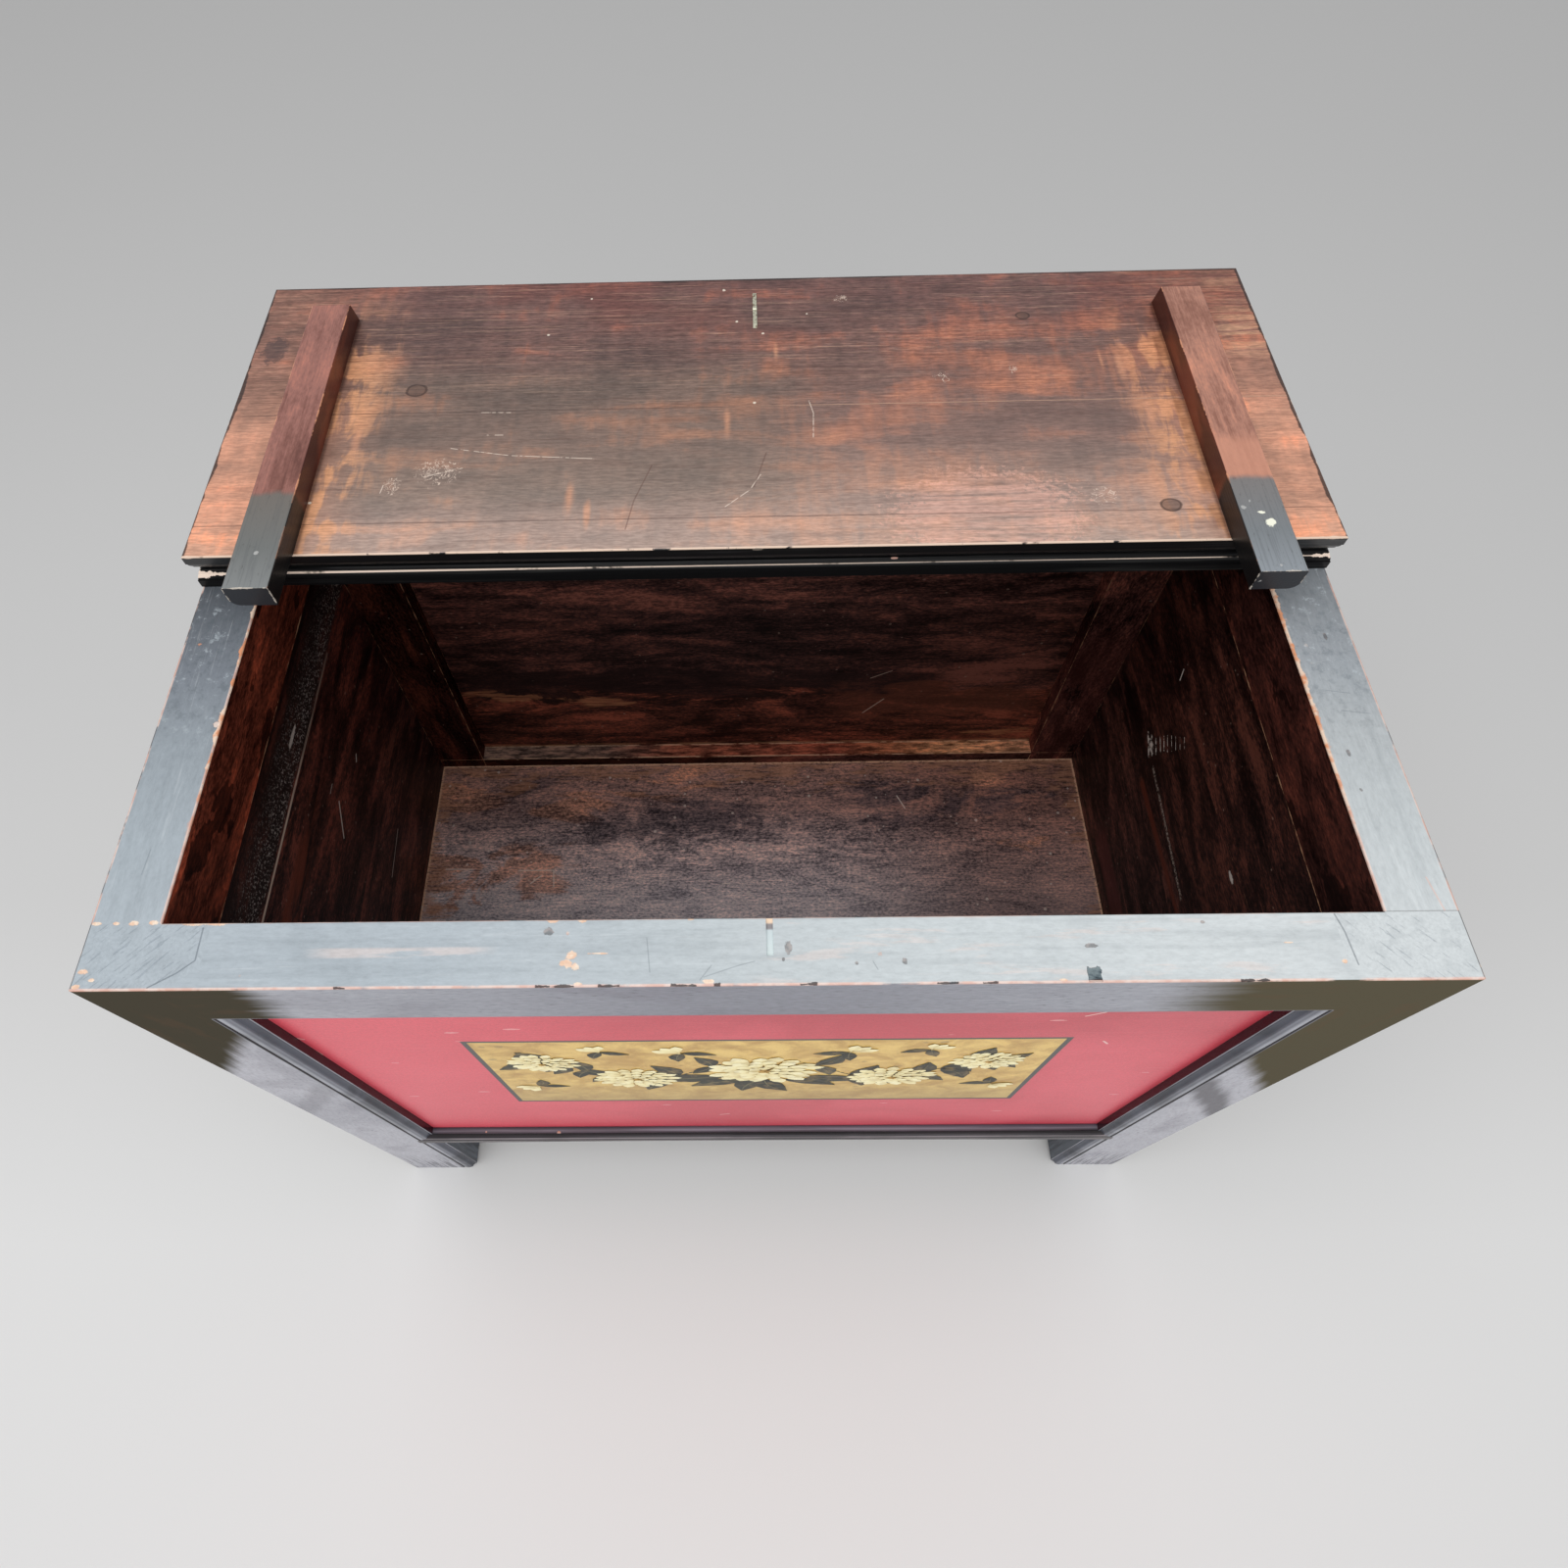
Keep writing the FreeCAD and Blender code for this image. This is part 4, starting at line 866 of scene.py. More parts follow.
def floor_wood(name, seed):
    """A floor board: mottled brown, greyer towards the front, rubbed to tan along the walls."""
    f = Finish(name, roughness=0.5, specular=0.10, coat=0.04, coat_roughness=0.35)
    clouds = f.noise(0.070, "x", 2.4, detail=6.0, rough=0.62, twist=1.2, seed=30.0)
    patches = f.noise(0.020, "x", 3.5, detail=4.0, rough=0.6, twist=0.8, seed=31.0)
    fine = f.noise(0.0026, "x", 12.0, detail=4.0, rough=0.65, seed=seed)
    grit = f.noise(0.0024, "x", 2.0, detail=3.0, rough=0.7, seed=seed + 4)
    base = f.ramp(f.y, (-0.13, rgb(184, 174, 178)), (-0.05, rgb(178, 166, 169)),
                  (0.02, rgb(168, 148, 148)), (0.08, rgb(134, 108, 105)), (0.15, rgb(136, 105, 98)))
    base = f.mix(f.step(f.x, 0.05, 0.35) * 0.70, base, rgb(114, 80, 72))
    film = f.step(f.y, 0.02, -0.10)
    drift = (clouds - 0.5) * 0.20
    rust = f.any_of(f.step(f.near_point((x, y, FLOOR_TOP), (0.5, 1.0, 1.0)) + drift, reach, 0.55 * reach)
                    for x, y, reach in FLOOR_RUST)
    base = f.mix(rust * 0.64, base, rgb(188, 134, 110))
    pools = f.any_of(f.step(f.near_point((x, y, FLOOR_TOP), (0.5, 1.0, 1.0)) + drift, reach, 0.7 * reach)
                     for x, y, reach in FLOOR_POOLS)
    base = f.mix(pools * 0.58, base, rgb(80, 70, 76))
    amount = clouds * 1.1 + patches * 0.55 + fine * 0.8 + grit * 1.6 - 2.025
    amount = amount * f.mix(film, 1.0, 0.62)
    tone = f.ramp(amount, (-0.36, (0.20, 0.21, 0.24)), (-0.16, (0.52, 0.52, 0.55)), (0.0, 1.0),
                  (0.18, (1.60, 1.42, 1.30)), (0.36, (2.5, 2.05, 1.75)))
    base = f.shade(base, tone)
    edge = f.least(PANEL_INNER - f.across, BACK_INNER - f.y)
    ragged = edge + (clouds + patches - 1.0) * 0.16
    tan = f.step(ragged, 0.030, 0.006) * f.step(fine, 0.36, 0.54)
    base = f.mix(tan * 0.55, base, rgb(190, 134, 104))
    base = f.mix(f.step(edge, 4 * MM, MM) * f.step(grit, 0.36, 0.52) * 0.9, base, rgb(226, 178, 146))
    specks = f.flecks(0.007, 0.10, seed=33.0)
    base = f.mix(specks * 0.5, base, rgb(226, 208, 196))
    strokes = f.strokes(FLOOR_SCRATCHES, "z", FLOOR_TOP, 1.1 * MM)
    base = f.mix(strokes * 0.8, base, rgb(222, 204, 192))
    f.relief(fine, 0.2 * MM)
    under = f.step(f.facing_z, 0.2, -0.2)
    return f.done(f.mix(under, base, rgb(92, 64, 50)))


def bearer_wood():
    """Plain stained wood under the floor."""
    f = Finish("bearer_stain", roughness=0.6, specular=0.2)
    colour, fine, _ = stain(f, "y", 40.0, rgb(78, 54, 42))
    f.relief(fine, 0.2 * MM)
    return f.done(colour)


# ---------------------------------------------------------------- red panel with its picture field
FIELD_HALF_WIDTH = 0.2705
FIELD_LOW = 0.434
FIELD_HIGH = 0.716
FIELD_BORDER = 0.005
# Scratches: from one x, z to another.
PANEL_SCRATCHES = (
    ((-0.411, 0.735), (-0.405, 0.728)), ((0.262, 0.788), (0.275, 0.800)),
    ((-0.050, 0.345), (-0.040, 0.350)), ((0.300, 0.700), (0.306, 0.690)),
)


def red_panel():
    """Raspberry paint, with a field of gold ground inside a dark line."""
    f = Finish("red_panel_paint", roughness=0.42, specular=0.22, coat=0.25, coat_roughness=0.22)
    clouds = f.noise(0.16, detail=4.0, twist=0.6)
    brush = f.noise(0.005, "x", 18.0, detail=4.0)
    red = f.mix(f.step(clouds, 0.36, 0.64), rgb(198, 58, 74), rgb(214, 74, 90))
    red = f.mix(f.step(f.x, 0.0, -0.36) * 0.75, red, rgb(228, 80, 96))
    red = f.mix(f.between(f.x, 0.30, 0.42, 0.06) * f.between(f.z, 0.36, 0.66, 0.08) * 0.5, red,
                rgb(228, 84, 100))
    upper = f.step(f.z, 0.60, 0.83) * f.step(f.x, 0.05, 0.38)
    red = f.mix(upper * 0.40, red, rgb(170, 40, 56))
    middle = f.between(f.x, -0.10, 0.10, 0.16) * f.step(f.z, 0.70, 0.83)
    red = f.mix(middle * 0.38, red, rgb(158, 40, 56))
    # Darker just under the top rail: painted shade.
    red = f.mix(f.step(f.z, RAIL_UNDER - 0.060, RAIL_UNDER) * 0.40, red, rgb(158, 40, 56))
    red = f.mix(f.step(brush, 0.55, 0.75) * 0.16, red, rgb(226, 120, 130))
    grit = f.noise(0.0026, detail=3.0, rough=0.7, seed=5.0)
    red = f.shade(red, f.ramp(grit, (0.28, 0.88), (0.72, 1.12)))
    edge = f.least(POST_INNER - f.across, RAIL_UNDER - f.z, f.z - FLOOR_TOP)
    # Darker close to the edges of the recess: painted shade in its corners.
    red = f.mix(f.step(edge, 0.010, 0.0) * 0.22, red, rgb(150, 30, 45))
    red = f.mix(f.worn(edge, 12 * MM, 0.62, size=0.02) * 0.8, red, rgb(230, 190, 176))
    red = f.mix(f.flecks(0.009, 0.035, grain="x", seed=7.0) * 0.5, red, rgb(236, 186, 184))
    strokes = f.strokes(PANEL_SCRATCHES, "y", PANEL_FACE, 1.4 * MM)
    red = f.mix(strokes * 0.8, red, rgb(240, 206, 200))

    sides = FIELD_HALF_WIDTH - f.across
    ends = f.least(FIELD_HIGH - f.z, f.z - FIELD_LOW)
    depth = f.least(sides, ends)
    mottled = f.noise(0.035, detail=6.0, rough=0.65, twist=0.5, seed=3.0)
    gold = f.mix(f.step(mottled, 0.32, 0.68), rgb(190, 147, 66), rgb(236, 200, 112))
    gold = f.mix(f.step(f.z, 0.56, 0.44) * 0.45, gold, rgb(150, 128, 84))
    crackle = f.node("ShaderNodeTexVoronoi", f.place, feature="DISTANCE_TO_EDGE", Scale=190.0)
    cracks = f.step(f.value(crackle, "Distance"), 0.035, 0.0)
    gold = f.mix(cracks * 0.18, gold, rgb(110, 84, 48))
    gold = f.mix(f.flecks(0.016, 0.10, seed=11.0) * 0.4, gold, rgb(122, 98, 60))
    field = f.mix(f.step(depth, FIELD_BORDER, FIELD_BORDER + 0.3 * MM), rgb(52, 50, 44), gold)
    colour = f.mix(f.step(depth, -0.2 * MM, 0.2 * MM), red, field)
    behind = f.step(f.facing_y, 0.4, 0.8)
    brown, _, _ = stain(f, "x", 9.0)
    f.relief(brush + cracks * -0.4, 0.15 * MM)
    return f.done(f.mix(behind, colour, brown))


# ---------------------------------------------------------------- lid
# Scratches: from one x, y to another.
LID_SCRATCHES = (
    ((0.0515, 0.1760), (0.0550, 0.1600)), ((0.0550, 0.1600), (0.0535, 0.1289)),
    ((-0.2631, 0.1692), (-0.2312, 0.1683)), ((-0.2501, 0.1395), (-0.2353, 0.1391)),
    ((-0.2865, 0.1242), (-0.2260, 0.1130)), ((-0.2260, 0.1130), (-0.1480, 0.1072)),
    ((0.0040, 0.0840), (-0.0061, 0.0658)), ((-0.0061, 0.0658), (-0.0279, 0.0470)),
    ((-0.3386, 0.0681), (-0.3367, 0.0820)), ((-0.2980, 0.0900), (-0.2678, 0.0985)),
)
LID_DARK_SCRATCHES = (
    ((-0.0946, 0.0974), (-0.1090, 0.0560)), ((-0.1090, 0.0560), (-0.1150, 0.0234)),
    ((0.0095, 0.1100), (-0.0020, 0.0700)),
)
# Scribbles: x, y, size in mm, stretch. Spots and knots: x, y, size in mm. Rubs: x, y, half width and
# half length in mm.
LID_SCRIBBLES = (
    (-0.290, 0.094, 22.0, 1.3), (0.181, 0.205, 8.0, 1.0), (0.2495, 0.213, 5.0, 1.0),
    (0.305, 0.052, 13.0, 1.2), (0.090, 0.322, 9.0, 1.6), (-0.328, 0.078, 8.0, 0.7),
)
LID_SPOTS = (
    (-0.0285, 0.339, 2.0), (-0.0157, 0.2905, 1.6), (0.010, 0.272, 1.4), (0.055, 0.300, 1.4),
    (-0.205, 0.276, 1.6), (-0.165, 0.330, 1.4), (0.000, 0.175, 1.5), (-0.400, 0.060, 1.6),
)
KNOTS = ((-0.326, 0.200, 9.0), (0.270, 0.290, 6.5), (0.360, 0.040, 8.0))
LID_RUBS = (
    (-0.167, 0.062, 6.0, 30.0), (-0.026, 0.152, 5.0, 26.0), (0.022, 0.245, 4.0, 22.0),
    (-0.375, 0.245, 11.0, 26.0), (0.352, 0.215, 6.0, 30.0), (0.366, 0.150, 6.0, 34.0),
    (0.335, 0.225, 3.0, 22.0), (-0.150, 0.040, 4.0, 20.0), (-0.372, 0.140, 7.0, 40.0),
    (0.384, 0.070, 8.0, 40.0),
)


def lid_wood():
    """Pine, stained brown on the inside of the lid and black on its edges and outer face."""
    f = Finish("lid_wood", roughness=0.42, specular=0.25, coat_roughness=0.22)
    fine = f.noise(0.0015, "x", 60.0, detail=4.0, rough=0.65)
    rings = f.noise(0.007, "x", 16.0, detail=4.0, twist=0.5, seed=5.0)
    blots = f.noise(0.042, "x", 3.2, detail=5.0, rough=0.55, twist=0.5, seed=1.0)
    wipes = f.noise(0.016, "y", 4.0, detail=4.0, rough=0.6, twist=0.4, seed=4.0)
    broad = f.noise(0.15, "x", 1.5, detail=2.0, seed=8.0)

    # Paler and greyer towards the near edge: a painted sheen over the brown stain.
    middle = f.ramp(f.y, (0.0, rgb(172, 149, 138)), (0.045, rgb(162, 138, 128)),
                    (0.085, rgb(146, 121, 111)), (0.13, rgb(131, 104, 96)), (0.22, rgb(119, 90, 83)),
                    (0.345, rgb(111, 78, 74)))
    ends = f.ramp(f.y, (0.0, rgb(206, 156, 131)), (0.06, rgb(222, 158, 129)), (0.15, rgb(220, 156, 128)),
                  (0.20, rgb(190, 134, 112)), (0.27, rgb(148, 104, 90)), (0.345, rgb(142, 98, 84)))
    wood = f.mix(f.step(f.across, 0.33, 0.46), middle, ends)
    # A grey-green patch over the middle left: painted sheen.
    green = f.between(f.x, -0.33, -0.02, 0.12) * f.between(f.y, 0.07, 0.20, 0.05)
    wood = f.mix(green * 0.35, wood, rgb(112, 104, 92))
    warm = blots * 1.4 + broad * 0.8 + wipes * 0.60 - 1.40 + f.x * 0.16
    calm = f.ramp(f.y, (0.0, 0.46), (0.12, 0.62), (0.25, 1.0))
    warm = warm * f.mix(f.step(f.across, 0.44, 0.46), calm, 0.9)
    tone = f.ramp(warm, (-0.34, (0.56, 0.63, 0.68)), (-0.14, (0.78, 0.83, 0.86)), (0.03, 1.0),
                  (0.20, (1.60, 1.25, 1.04)), (0.36, (2.4, 1.68, 1.20)))
    wood = f.shade(wood, tone)
    golden = f.step(f.x, 0.45, 0.47) * f.between(f.y, 0.25, 0.33, 0.04) * f.step(rings, 0.40, 0.56)
    wood = f.mix(golden * 0.6, wood, rgb(212, 162, 128))
    glow = (f.step(f.across, 0.330, 0.395) * f.step(f.across, BATTEN_INNER + MM, BATTEN_INNER)
            * f.step(blots + wipes, 0.92, 1.10) * f.step(f.y, 0.36, 0.20))
    wood = f.mix(glow * 0.70, wood, rgb(230, 166, 120))
    pale = f.spot((0.200, 0.034, LID_FACE), 0.055, (0.6, 1.0, 1.0), ragged=0.5)
    wood = f.mix(pale * f.step(rings, 0.30, 0.60) * 0.45, wood, rgb(232, 176, 158))
    maroon = f.step(f.y, 0.25, 0.32) * f.step(broad, 0.46, 0.56)
    wood = f.mix(maroon * 0.5, wood, rgb(112, 62, 56))

    rubs = f.any_of(f.step(f.near_point((x, y, LID_FACE), (1.0, half_width / half_length, 1.0))
                           + (wipes - 0.5) * (1.5 * half_width * MM), half_width * MM,
                           0.1 * half_width * MM)
                    for x, y, half_width, half_length in LID_RUBS)
    wood = f.mix(rubs * 0.50, wood, rgb(222, 158, 122))
    far = f.step(f.y, 0.12, 0.28)
    wood = f.mix(f.step(fine, 0.49, 0.36) * (far * 0.34 + 0.12), wood, rgb(70, 40, 34))
    wood = f.mix(f.step(fine, 0.55, 0.68) * (far * 0.22 + 0.05), wood, rgb(220, 178, 148))
    grit = f.noise(0.0022, "x", 5.0, detail=3.0, rough=0.7, seed=9.0)
    grit_low = far * -0.12 + 0.82
    wood = f.shade(wood, f.mix(f.step(grit, 0.30, 0.70), grit_low, grit_low * -1.0 + 2.0))
    wood = f.mix(f.step(rings, 0.46, 0.36) * 0.16, wood, rgb(78, 48, 42))
    for x, y, size in KNOTS:
        away = f.near_point((x, y, LID_FACE), (0.8, 1.0, 1.0))
        away = away + (blots - 0.5) * 0.010
        wood = f.mix(f.step(away, size * MM, size * 0.8 * MM) * 0.62, wood, rgb(88, 66, 58))
        ring = f.between(away, size * 0.82 * MM, size * 0.94 * MM, 0.8 * MM)
        wood = f.mix(ring * 0.60, wood, rgb(46, 30, 28))
    stained = f.spot((-0.478, 0.262, LID_FACE), 17 * MM, (1.2, 0.8, 1.0), ragged=0.5)
    wood = f.mix(stained * 0.6, wood, rgb(62, 52, 56))
    joints = f.least(abs(f.y - STRIP_JOINT), abs(f.y - FRONT_JOINT))
    joints = f.step(joints, 0.8 * MM, 0.3 * MM)
    lit_joint = f.step(f.y, 0.10, 0.14) * f.step(f.x, -0.10, 0.10)
    wood = f.mix(joints * f.mix(lit_joint, 0.34, 0.55), wood,
                 f.mix(lit_joint, rgb(70, 42, 38), rgb(208, 166, 142)))
    along_batten = f.step(f.y, BATTEN_FAR + MM, BATTEN_FAR - MM)
    beside = BATTEN_INNER - f.across
    # Painted shadow of the battens on the lid beside their inner sides.
    batten_shadow = f.step(abs(beside), 5 * MM, MM) * along_batten
    wood = f.mix(batten_shadow * 0.65, wood, rgb(58, 30, 24))
    old_line = f.step(abs(beside - 0.007), 6 * MM, 2 * MM)
    old_line = old_line * f.step(f.x, 0.0, 0.1) * along_batten * f.step(blots, 0.4, 0.6)
    wood = f.mix(old_line * 0.5, wood, rgb(72, 40, 32))

    light_marks = f.strokes(LID_SCRATCHES, "z", LID_FACE, 0.65 * MM)
    broken = f.step(f.noise(0.006, detail=3.0, seed=6.0), 0.42, 0.52)
    wood = f.mix(light_marks * broken * 0.65, wood, rgb(226, 208, 194))
    dark_marks = f.strokes(LID_DARK_SCRATCHES, "z", LID_FACE, 0.9 * MM)
    wood = f.mix(dark_marks * 0.45, wood, rgb(86, 56, 50))
    tangle = f.noise(0.010, detail=3.0, rough=0.6, twist=1.5, seed=7.0)
    tangle = f.step(abs(tangle - 0.5), 0.022, 0.010)
    scribbled = f.any_of(f.spot((x, y, LID_FACE), size * MM, (1.0, stretch, 1.0))
                         for x, y, size, stretch in LID_SCRIBBLES)
    wood = f.mix(scribbled * tangle * 0.7, wood, rgb(228, 206, 190))
    specks = f.any_of(f.spot((x, y, LID_FACE), size * MM) for x, y, size in LID_SPOTS)
    wood = f.mix(specks * 0.8, wood, rgb(228, 216, 200))

    streaks = f.noise(0.006, "x", 40.0, detail=4.0, seed=3.0)
    black = f.mix(f.step(streaks, 0.54, 0.74) * 0.40, BLACK, rgb(84, 84, 84))
    inner_face = f.step(f.facing_z, 0.75, 0.92) * f.step(f.z, LID_FACE - MM, LID_FACE - 0.5 * MM)
    colour = f.mix(inner_face, black, wood)

    near_arris = f.near_line("x", LID_NEAR, LID_FACE)
    far_arris = f.near_line("x", LID_FAR, LID_FACE)
    end_arris = f.near_line("y", HALF_WIDTH, LID_FACE)
    uneven = (blots - 0.5) * 0.012
    dark_edge = f.step(f.least(far_arris, end_arris) + uneven, 3.0 * MM, 1.8 * MM)
    colour = f.mix(dark_edge * 0.85, colour, rgb(40, 32, 32))
    rubbed = (f.worn(far_arris, 7 * MM, 0.46, size=0.016, seed=4.0)
              | f.worn(end_arris, 7 * MM, 0.46, size=0.014, seed=4.5)
              | f.step(near_arris, 1.7 * MM, 1.0 * MM) * f.step(wipes, 0.34, 0.42)
              | f.worn(near_arris, 9 * MM, 0.40, size=0.02, seed=6.0) * f.step(f.across, 0.40, 0.47))
    colour = f.mix(rubbed * 0.9, colour, CREAM)
    edge_chips = f.flecks(0.006, 0.05, grain="x", seed=9.0) * (1 - inner_face)
    colour = f.mix(edge_chips * 0.6, colour, rgb(150, 138, 126))
    gloss = f.mix(inner_face, 0.5, 0.2)
    f.set("Coat Weight", (1 - rubbed) * gloss)
    f.relief(fine * 0.5 + rings * 0.4 + joints * -2.0, 0.25 * MM)
    return f.done(colour)


def batten_wood():
    """Red-brown stained batten with a black tail, rubbed along its long arrises."""
    f = Finish("batten_wood", roughness=0.4, specular=0.25, coat_roughness=0.2)
    fine = f.noise(0.0018, "y", 30.0, detail=4.0)
    blots = f.noise(0.04, "y", 3.0, detail=5.0, twist=0.8, seed=3.0)
    right = f.step(f.x, -0.1, 0.1)
    on_top = f.step(f.facing_z, 0.6, 0.9)
    brown = f.mix(right, rgb(145, 98, 89), rgb(168, 119, 102))
    streaks = f.noise(0.007, "y", 9.0, detail=5.0, rough=0.6, twist=0.3, seed=6.0)
    grit = f.noise(0.0026, "y", 3.0, detail=3.0, rough=0.7, seed=8.0)
    amount = blots * 1.0 + streaks * 0.6 + fine * 0.4 + grit * 0.5 - 1.25
    tone = f.ramp(amount, (-0.32, (0.46, 0.38, 0.36)), (-0.12, (0.74, 0.68, 0.66)), (0.02, 1.0),
                  (0.20, (1.40, 1.30, 1.20)), (0.36, (1.9, 1.6, 1.4)))
    brown = f.shade(brown, tone)
    glow = right * f.between(f.y, 0.055, 0.085, 0.02)
    brown = f.mix(glow * 0.7, brown, rgb(202, 142, 118))
    side = f.mix(f.step(blots, 0.42, 0.66), rgb(66, 26, 17), rgb(112, 54, 36))
    side = f.mix(f.step(f.y, 0.06, 0.03), side, rgb(128, 72, 52))
    brown = f.mix(on_top, side, brown)

    ragged = (blots - 0.5) * 0.02
    tail = f.step(f.y + ragged, LID_NEAR + 0.052, LID_NEAR + 0.044)
    # The top of the tail: black paint under a painted grey reflection, lighter towards its end and on
    # the right batten.
    slate = f.ramp(f.y, (-0.05, rgb(128, 134, 139)), (-0.01, rgb(110, 115, 118)),
                   (0.05, rgb(112, 108, 106)))
    slate = f.shade(slate, f.mix(right, (0.90, 0.86, 0.80), (1.16, 1.16, 1.18)))
    slate = f.mix(f.step(fine, 0.50, 0.36) * 0.22, slate, rgb(72, 76, 80))
    slate = f.mix(f.step(grit, 0.42, 0.28) * 0.35, slate, rgb(60, 56, 54))
    black = f.mix(on_top, f.mix(f.step(f.facing_y, -0.5, -0.8), BLACK, rgb(42, 43, 47)), slate)
    colour = f.mix(tail, brown, black)

    lines = f.least(f.near_line("y", BATTEN_INNER, BATTEN_TOP),
                    f.near_line("y", BATTEN_OUTER, BATTEN_TOP))
    ends = f.least(f.near_line("x", TAIL_END, BATTEN_TOP), f.near_line("z", BATTEN_INNER, TAIL_END),
                   f.near_line("z", BATTEN_OUTER, TAIL_END))
    rubbed = f.worn(lines, 6 * MM, 0.38, size=0.03, seed=1.0) * (1 - tail * 0.75)
    chipped = f.worn(ends, 7 * MM, 0.42, size=0.009, seed=2.0)
    colour = f.mix(rubbed * 0.75, colour, rgb(222, 156, 120))
    colour = f.mix(chipped * 0.8, colour, rgb(206, 196, 184))
    paint_spot = (f.spot((0.424, -0.002, BATTEN_TOP), 4.6 * MM, (1.0, 0.9, 1.0), ragged=0.4)
                  | f.spot((0.419, 0.009, BATTEN_TOP), 2.0 * MM, (0.6, 1.2, 1.0)))
    colour = f.mix(paint_spot, colour, rgb(240, 240, 222))
    dots = f.flecks(0.007, 0.05, seed=17.0) * tail
    colour = f.mix(dots * 0.6, colour, rgb(190, 190, 188))
    f.set("Coat Weight", (1 - chipped) * 0.25)
    f.relief(fine, 0.2 * MM)
    return f.done(colour)


def fixed_top_lacquer():
    """Black lacquer, bare on the crown of the moulding and in patches at both ends; the crown line is
    also a painted highlight.
    """
    f = Finish("fixed_top_lacquer", roughness=0.42, specular=0.05, coat_roughness=0.12)
    streaks = f.noise(0.006, "x", 40.0, detail=4.0, seed=3.0)
    colour = f.mix(f.step(streaks, 0.55, 0.74) * 0.25, BLACK, rgb(84, 84, 82))
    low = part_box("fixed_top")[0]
    crown = f.near_line("x", low.y + 2.8 * MM, low.z + 16 * MM)
    base = f.near_line("x", low.y, low.z)
    sides = f.near_line("y", HALF_WIDTH - 2.8 * MM, low.z + 16 * MM)
    ends = f.step(f.across, 0.42, 0.47)
    broken = f.step(f.noise(0.03, detail=4.0, rough=0.65, seed=2.0), 0.32, 0.46)
    strength = f.ramp(f.x, (-0.38, 1.0), (0.05, 0.80), (0.20, 0.50), (0.40, 0.80))
    width = f.ramp(f.x, (-0.40, 0.0014), (0.0, 0.0008))
    # Crown line: rubbed lacquer and a painted highlight where the crown catches the light, strongest and
    # widest at the left.
    line = f.step(width - crown, 0.0, 0.5 * MM) * broken * strength
    patch = f.worn(crown, 26 * MM, 0.40, size=0.02, seed=3.0) * ends
    dashes = f.worn(base, 5 * MM, 0.54, size=0.02, seed=4.0)
    rubbed = line | patch | dashes * 0.8 | f.worn(sides, 7 * MM, 0.44, size=0.02, seed=6.0)
    colour = f.mix(rubbed, colour, rgb(236, 216, 200))
    colour = f.mix(f.flecks(0.005, 0.03, grain="x", seed=4.0) * 0.7, colour, ROSE)
    f.set("Coat Weight", (1 - rubbed) * 0.15)
    f.relief(streaks * 0.3 + rubbed * -0.6, 0.3 * MM)
    return f.done(colour)


def iron():
    """Old iron, brown where it has rusted and bright where it is rubbed."""
    f = Finish("old_iron", roughness=0.38, specular=0.5, metal=0.6)
    rust = f.noise(0.004, detail=5.0, rough=0.7)
    colour = f.mix(f.step(rust, 0.46, 0.64), rgb(196, 196, 176), rgb(112, 92, 72))
    f.set("Roughness", f.step(rust, 0.4, 0.6) * 0.35 + 0.3)
    f.relief(rust, 0.2 * MM)
    return f.done(colour)


def peg_wood():
    """End grain of the pegs, lacquered over with the top."""
    f = Finish("peg_end_grain", roughness=0.5, specular=0.3, coat=0.3, coat_roughness=0.2)
    rays = f.noise(0.0015, detail=3.0)
    colour = f.mix(f.step(rays, 0.4, 0.6), rgb(34, 30, 28), rgb(78, 62, 52))
    f.relief(rays, 0.2 * MM)
    return f.done(colour)


def finish_for(names, material):
    """Give CAD nodes a material in place of the plain one."""
    for name in names:
        slots = nodes[name].data.materials
        slots.clear()
        slots.append(material)


finish_for(["front_top_rail"], frame_lacquer("front_top"))
finish_for(["front_bottom_rail"], frame_lacquer("front_low"))
finish_for(["front_left_post", "front_right_post"], frame_lacquer("front_post"))
finish_for(["left_top_rail", "right_top_rail", "left_bottom_rail", "right_bottom_rail"],
           frame_lacquer("side"))
finish_for(["back_top_rail", "back_bottom_rail"], frame_lacquer("back"))
finish_for(["back_left_post", "back_right_post"], frame_lacquer("back_post"))
finish_for(["front_panel"], red_panel())
finish_for(["back_panel"], back_board())
for side in ("left", "right"):
    for index, level in enumerate(("lower", "middle", "upper")):
        seed = index * 2.3 + (11.0 if side == "left" else 17.0)
        board = side + "_side_" + level + "_board"
        finish_for([board], side_board(board + "_stain", seed))
for index in range(3):
    board = "floor_board_" + str(index + 1)
    finish_for([board], floor_wood(board + "_wood", 50.0 + index))
finish_for(["left_floor_bearer", "right_floor_bearer"], bearer_wood())
finish_for(["lid_front_board", "lid_middle_board", "lid_rear_strip"], lid_wood())
finish_for(["left_lid_batten", "right_lid_batten"], batten_wood())
finish_for(["fixed_top"], fixed_top_lacquer())
finish_for(["fixed_top_pegs"], peg_wood())
finish_for(["lid_batten_nails", "lid_split_pin", "lid_ring_pull"], iron())


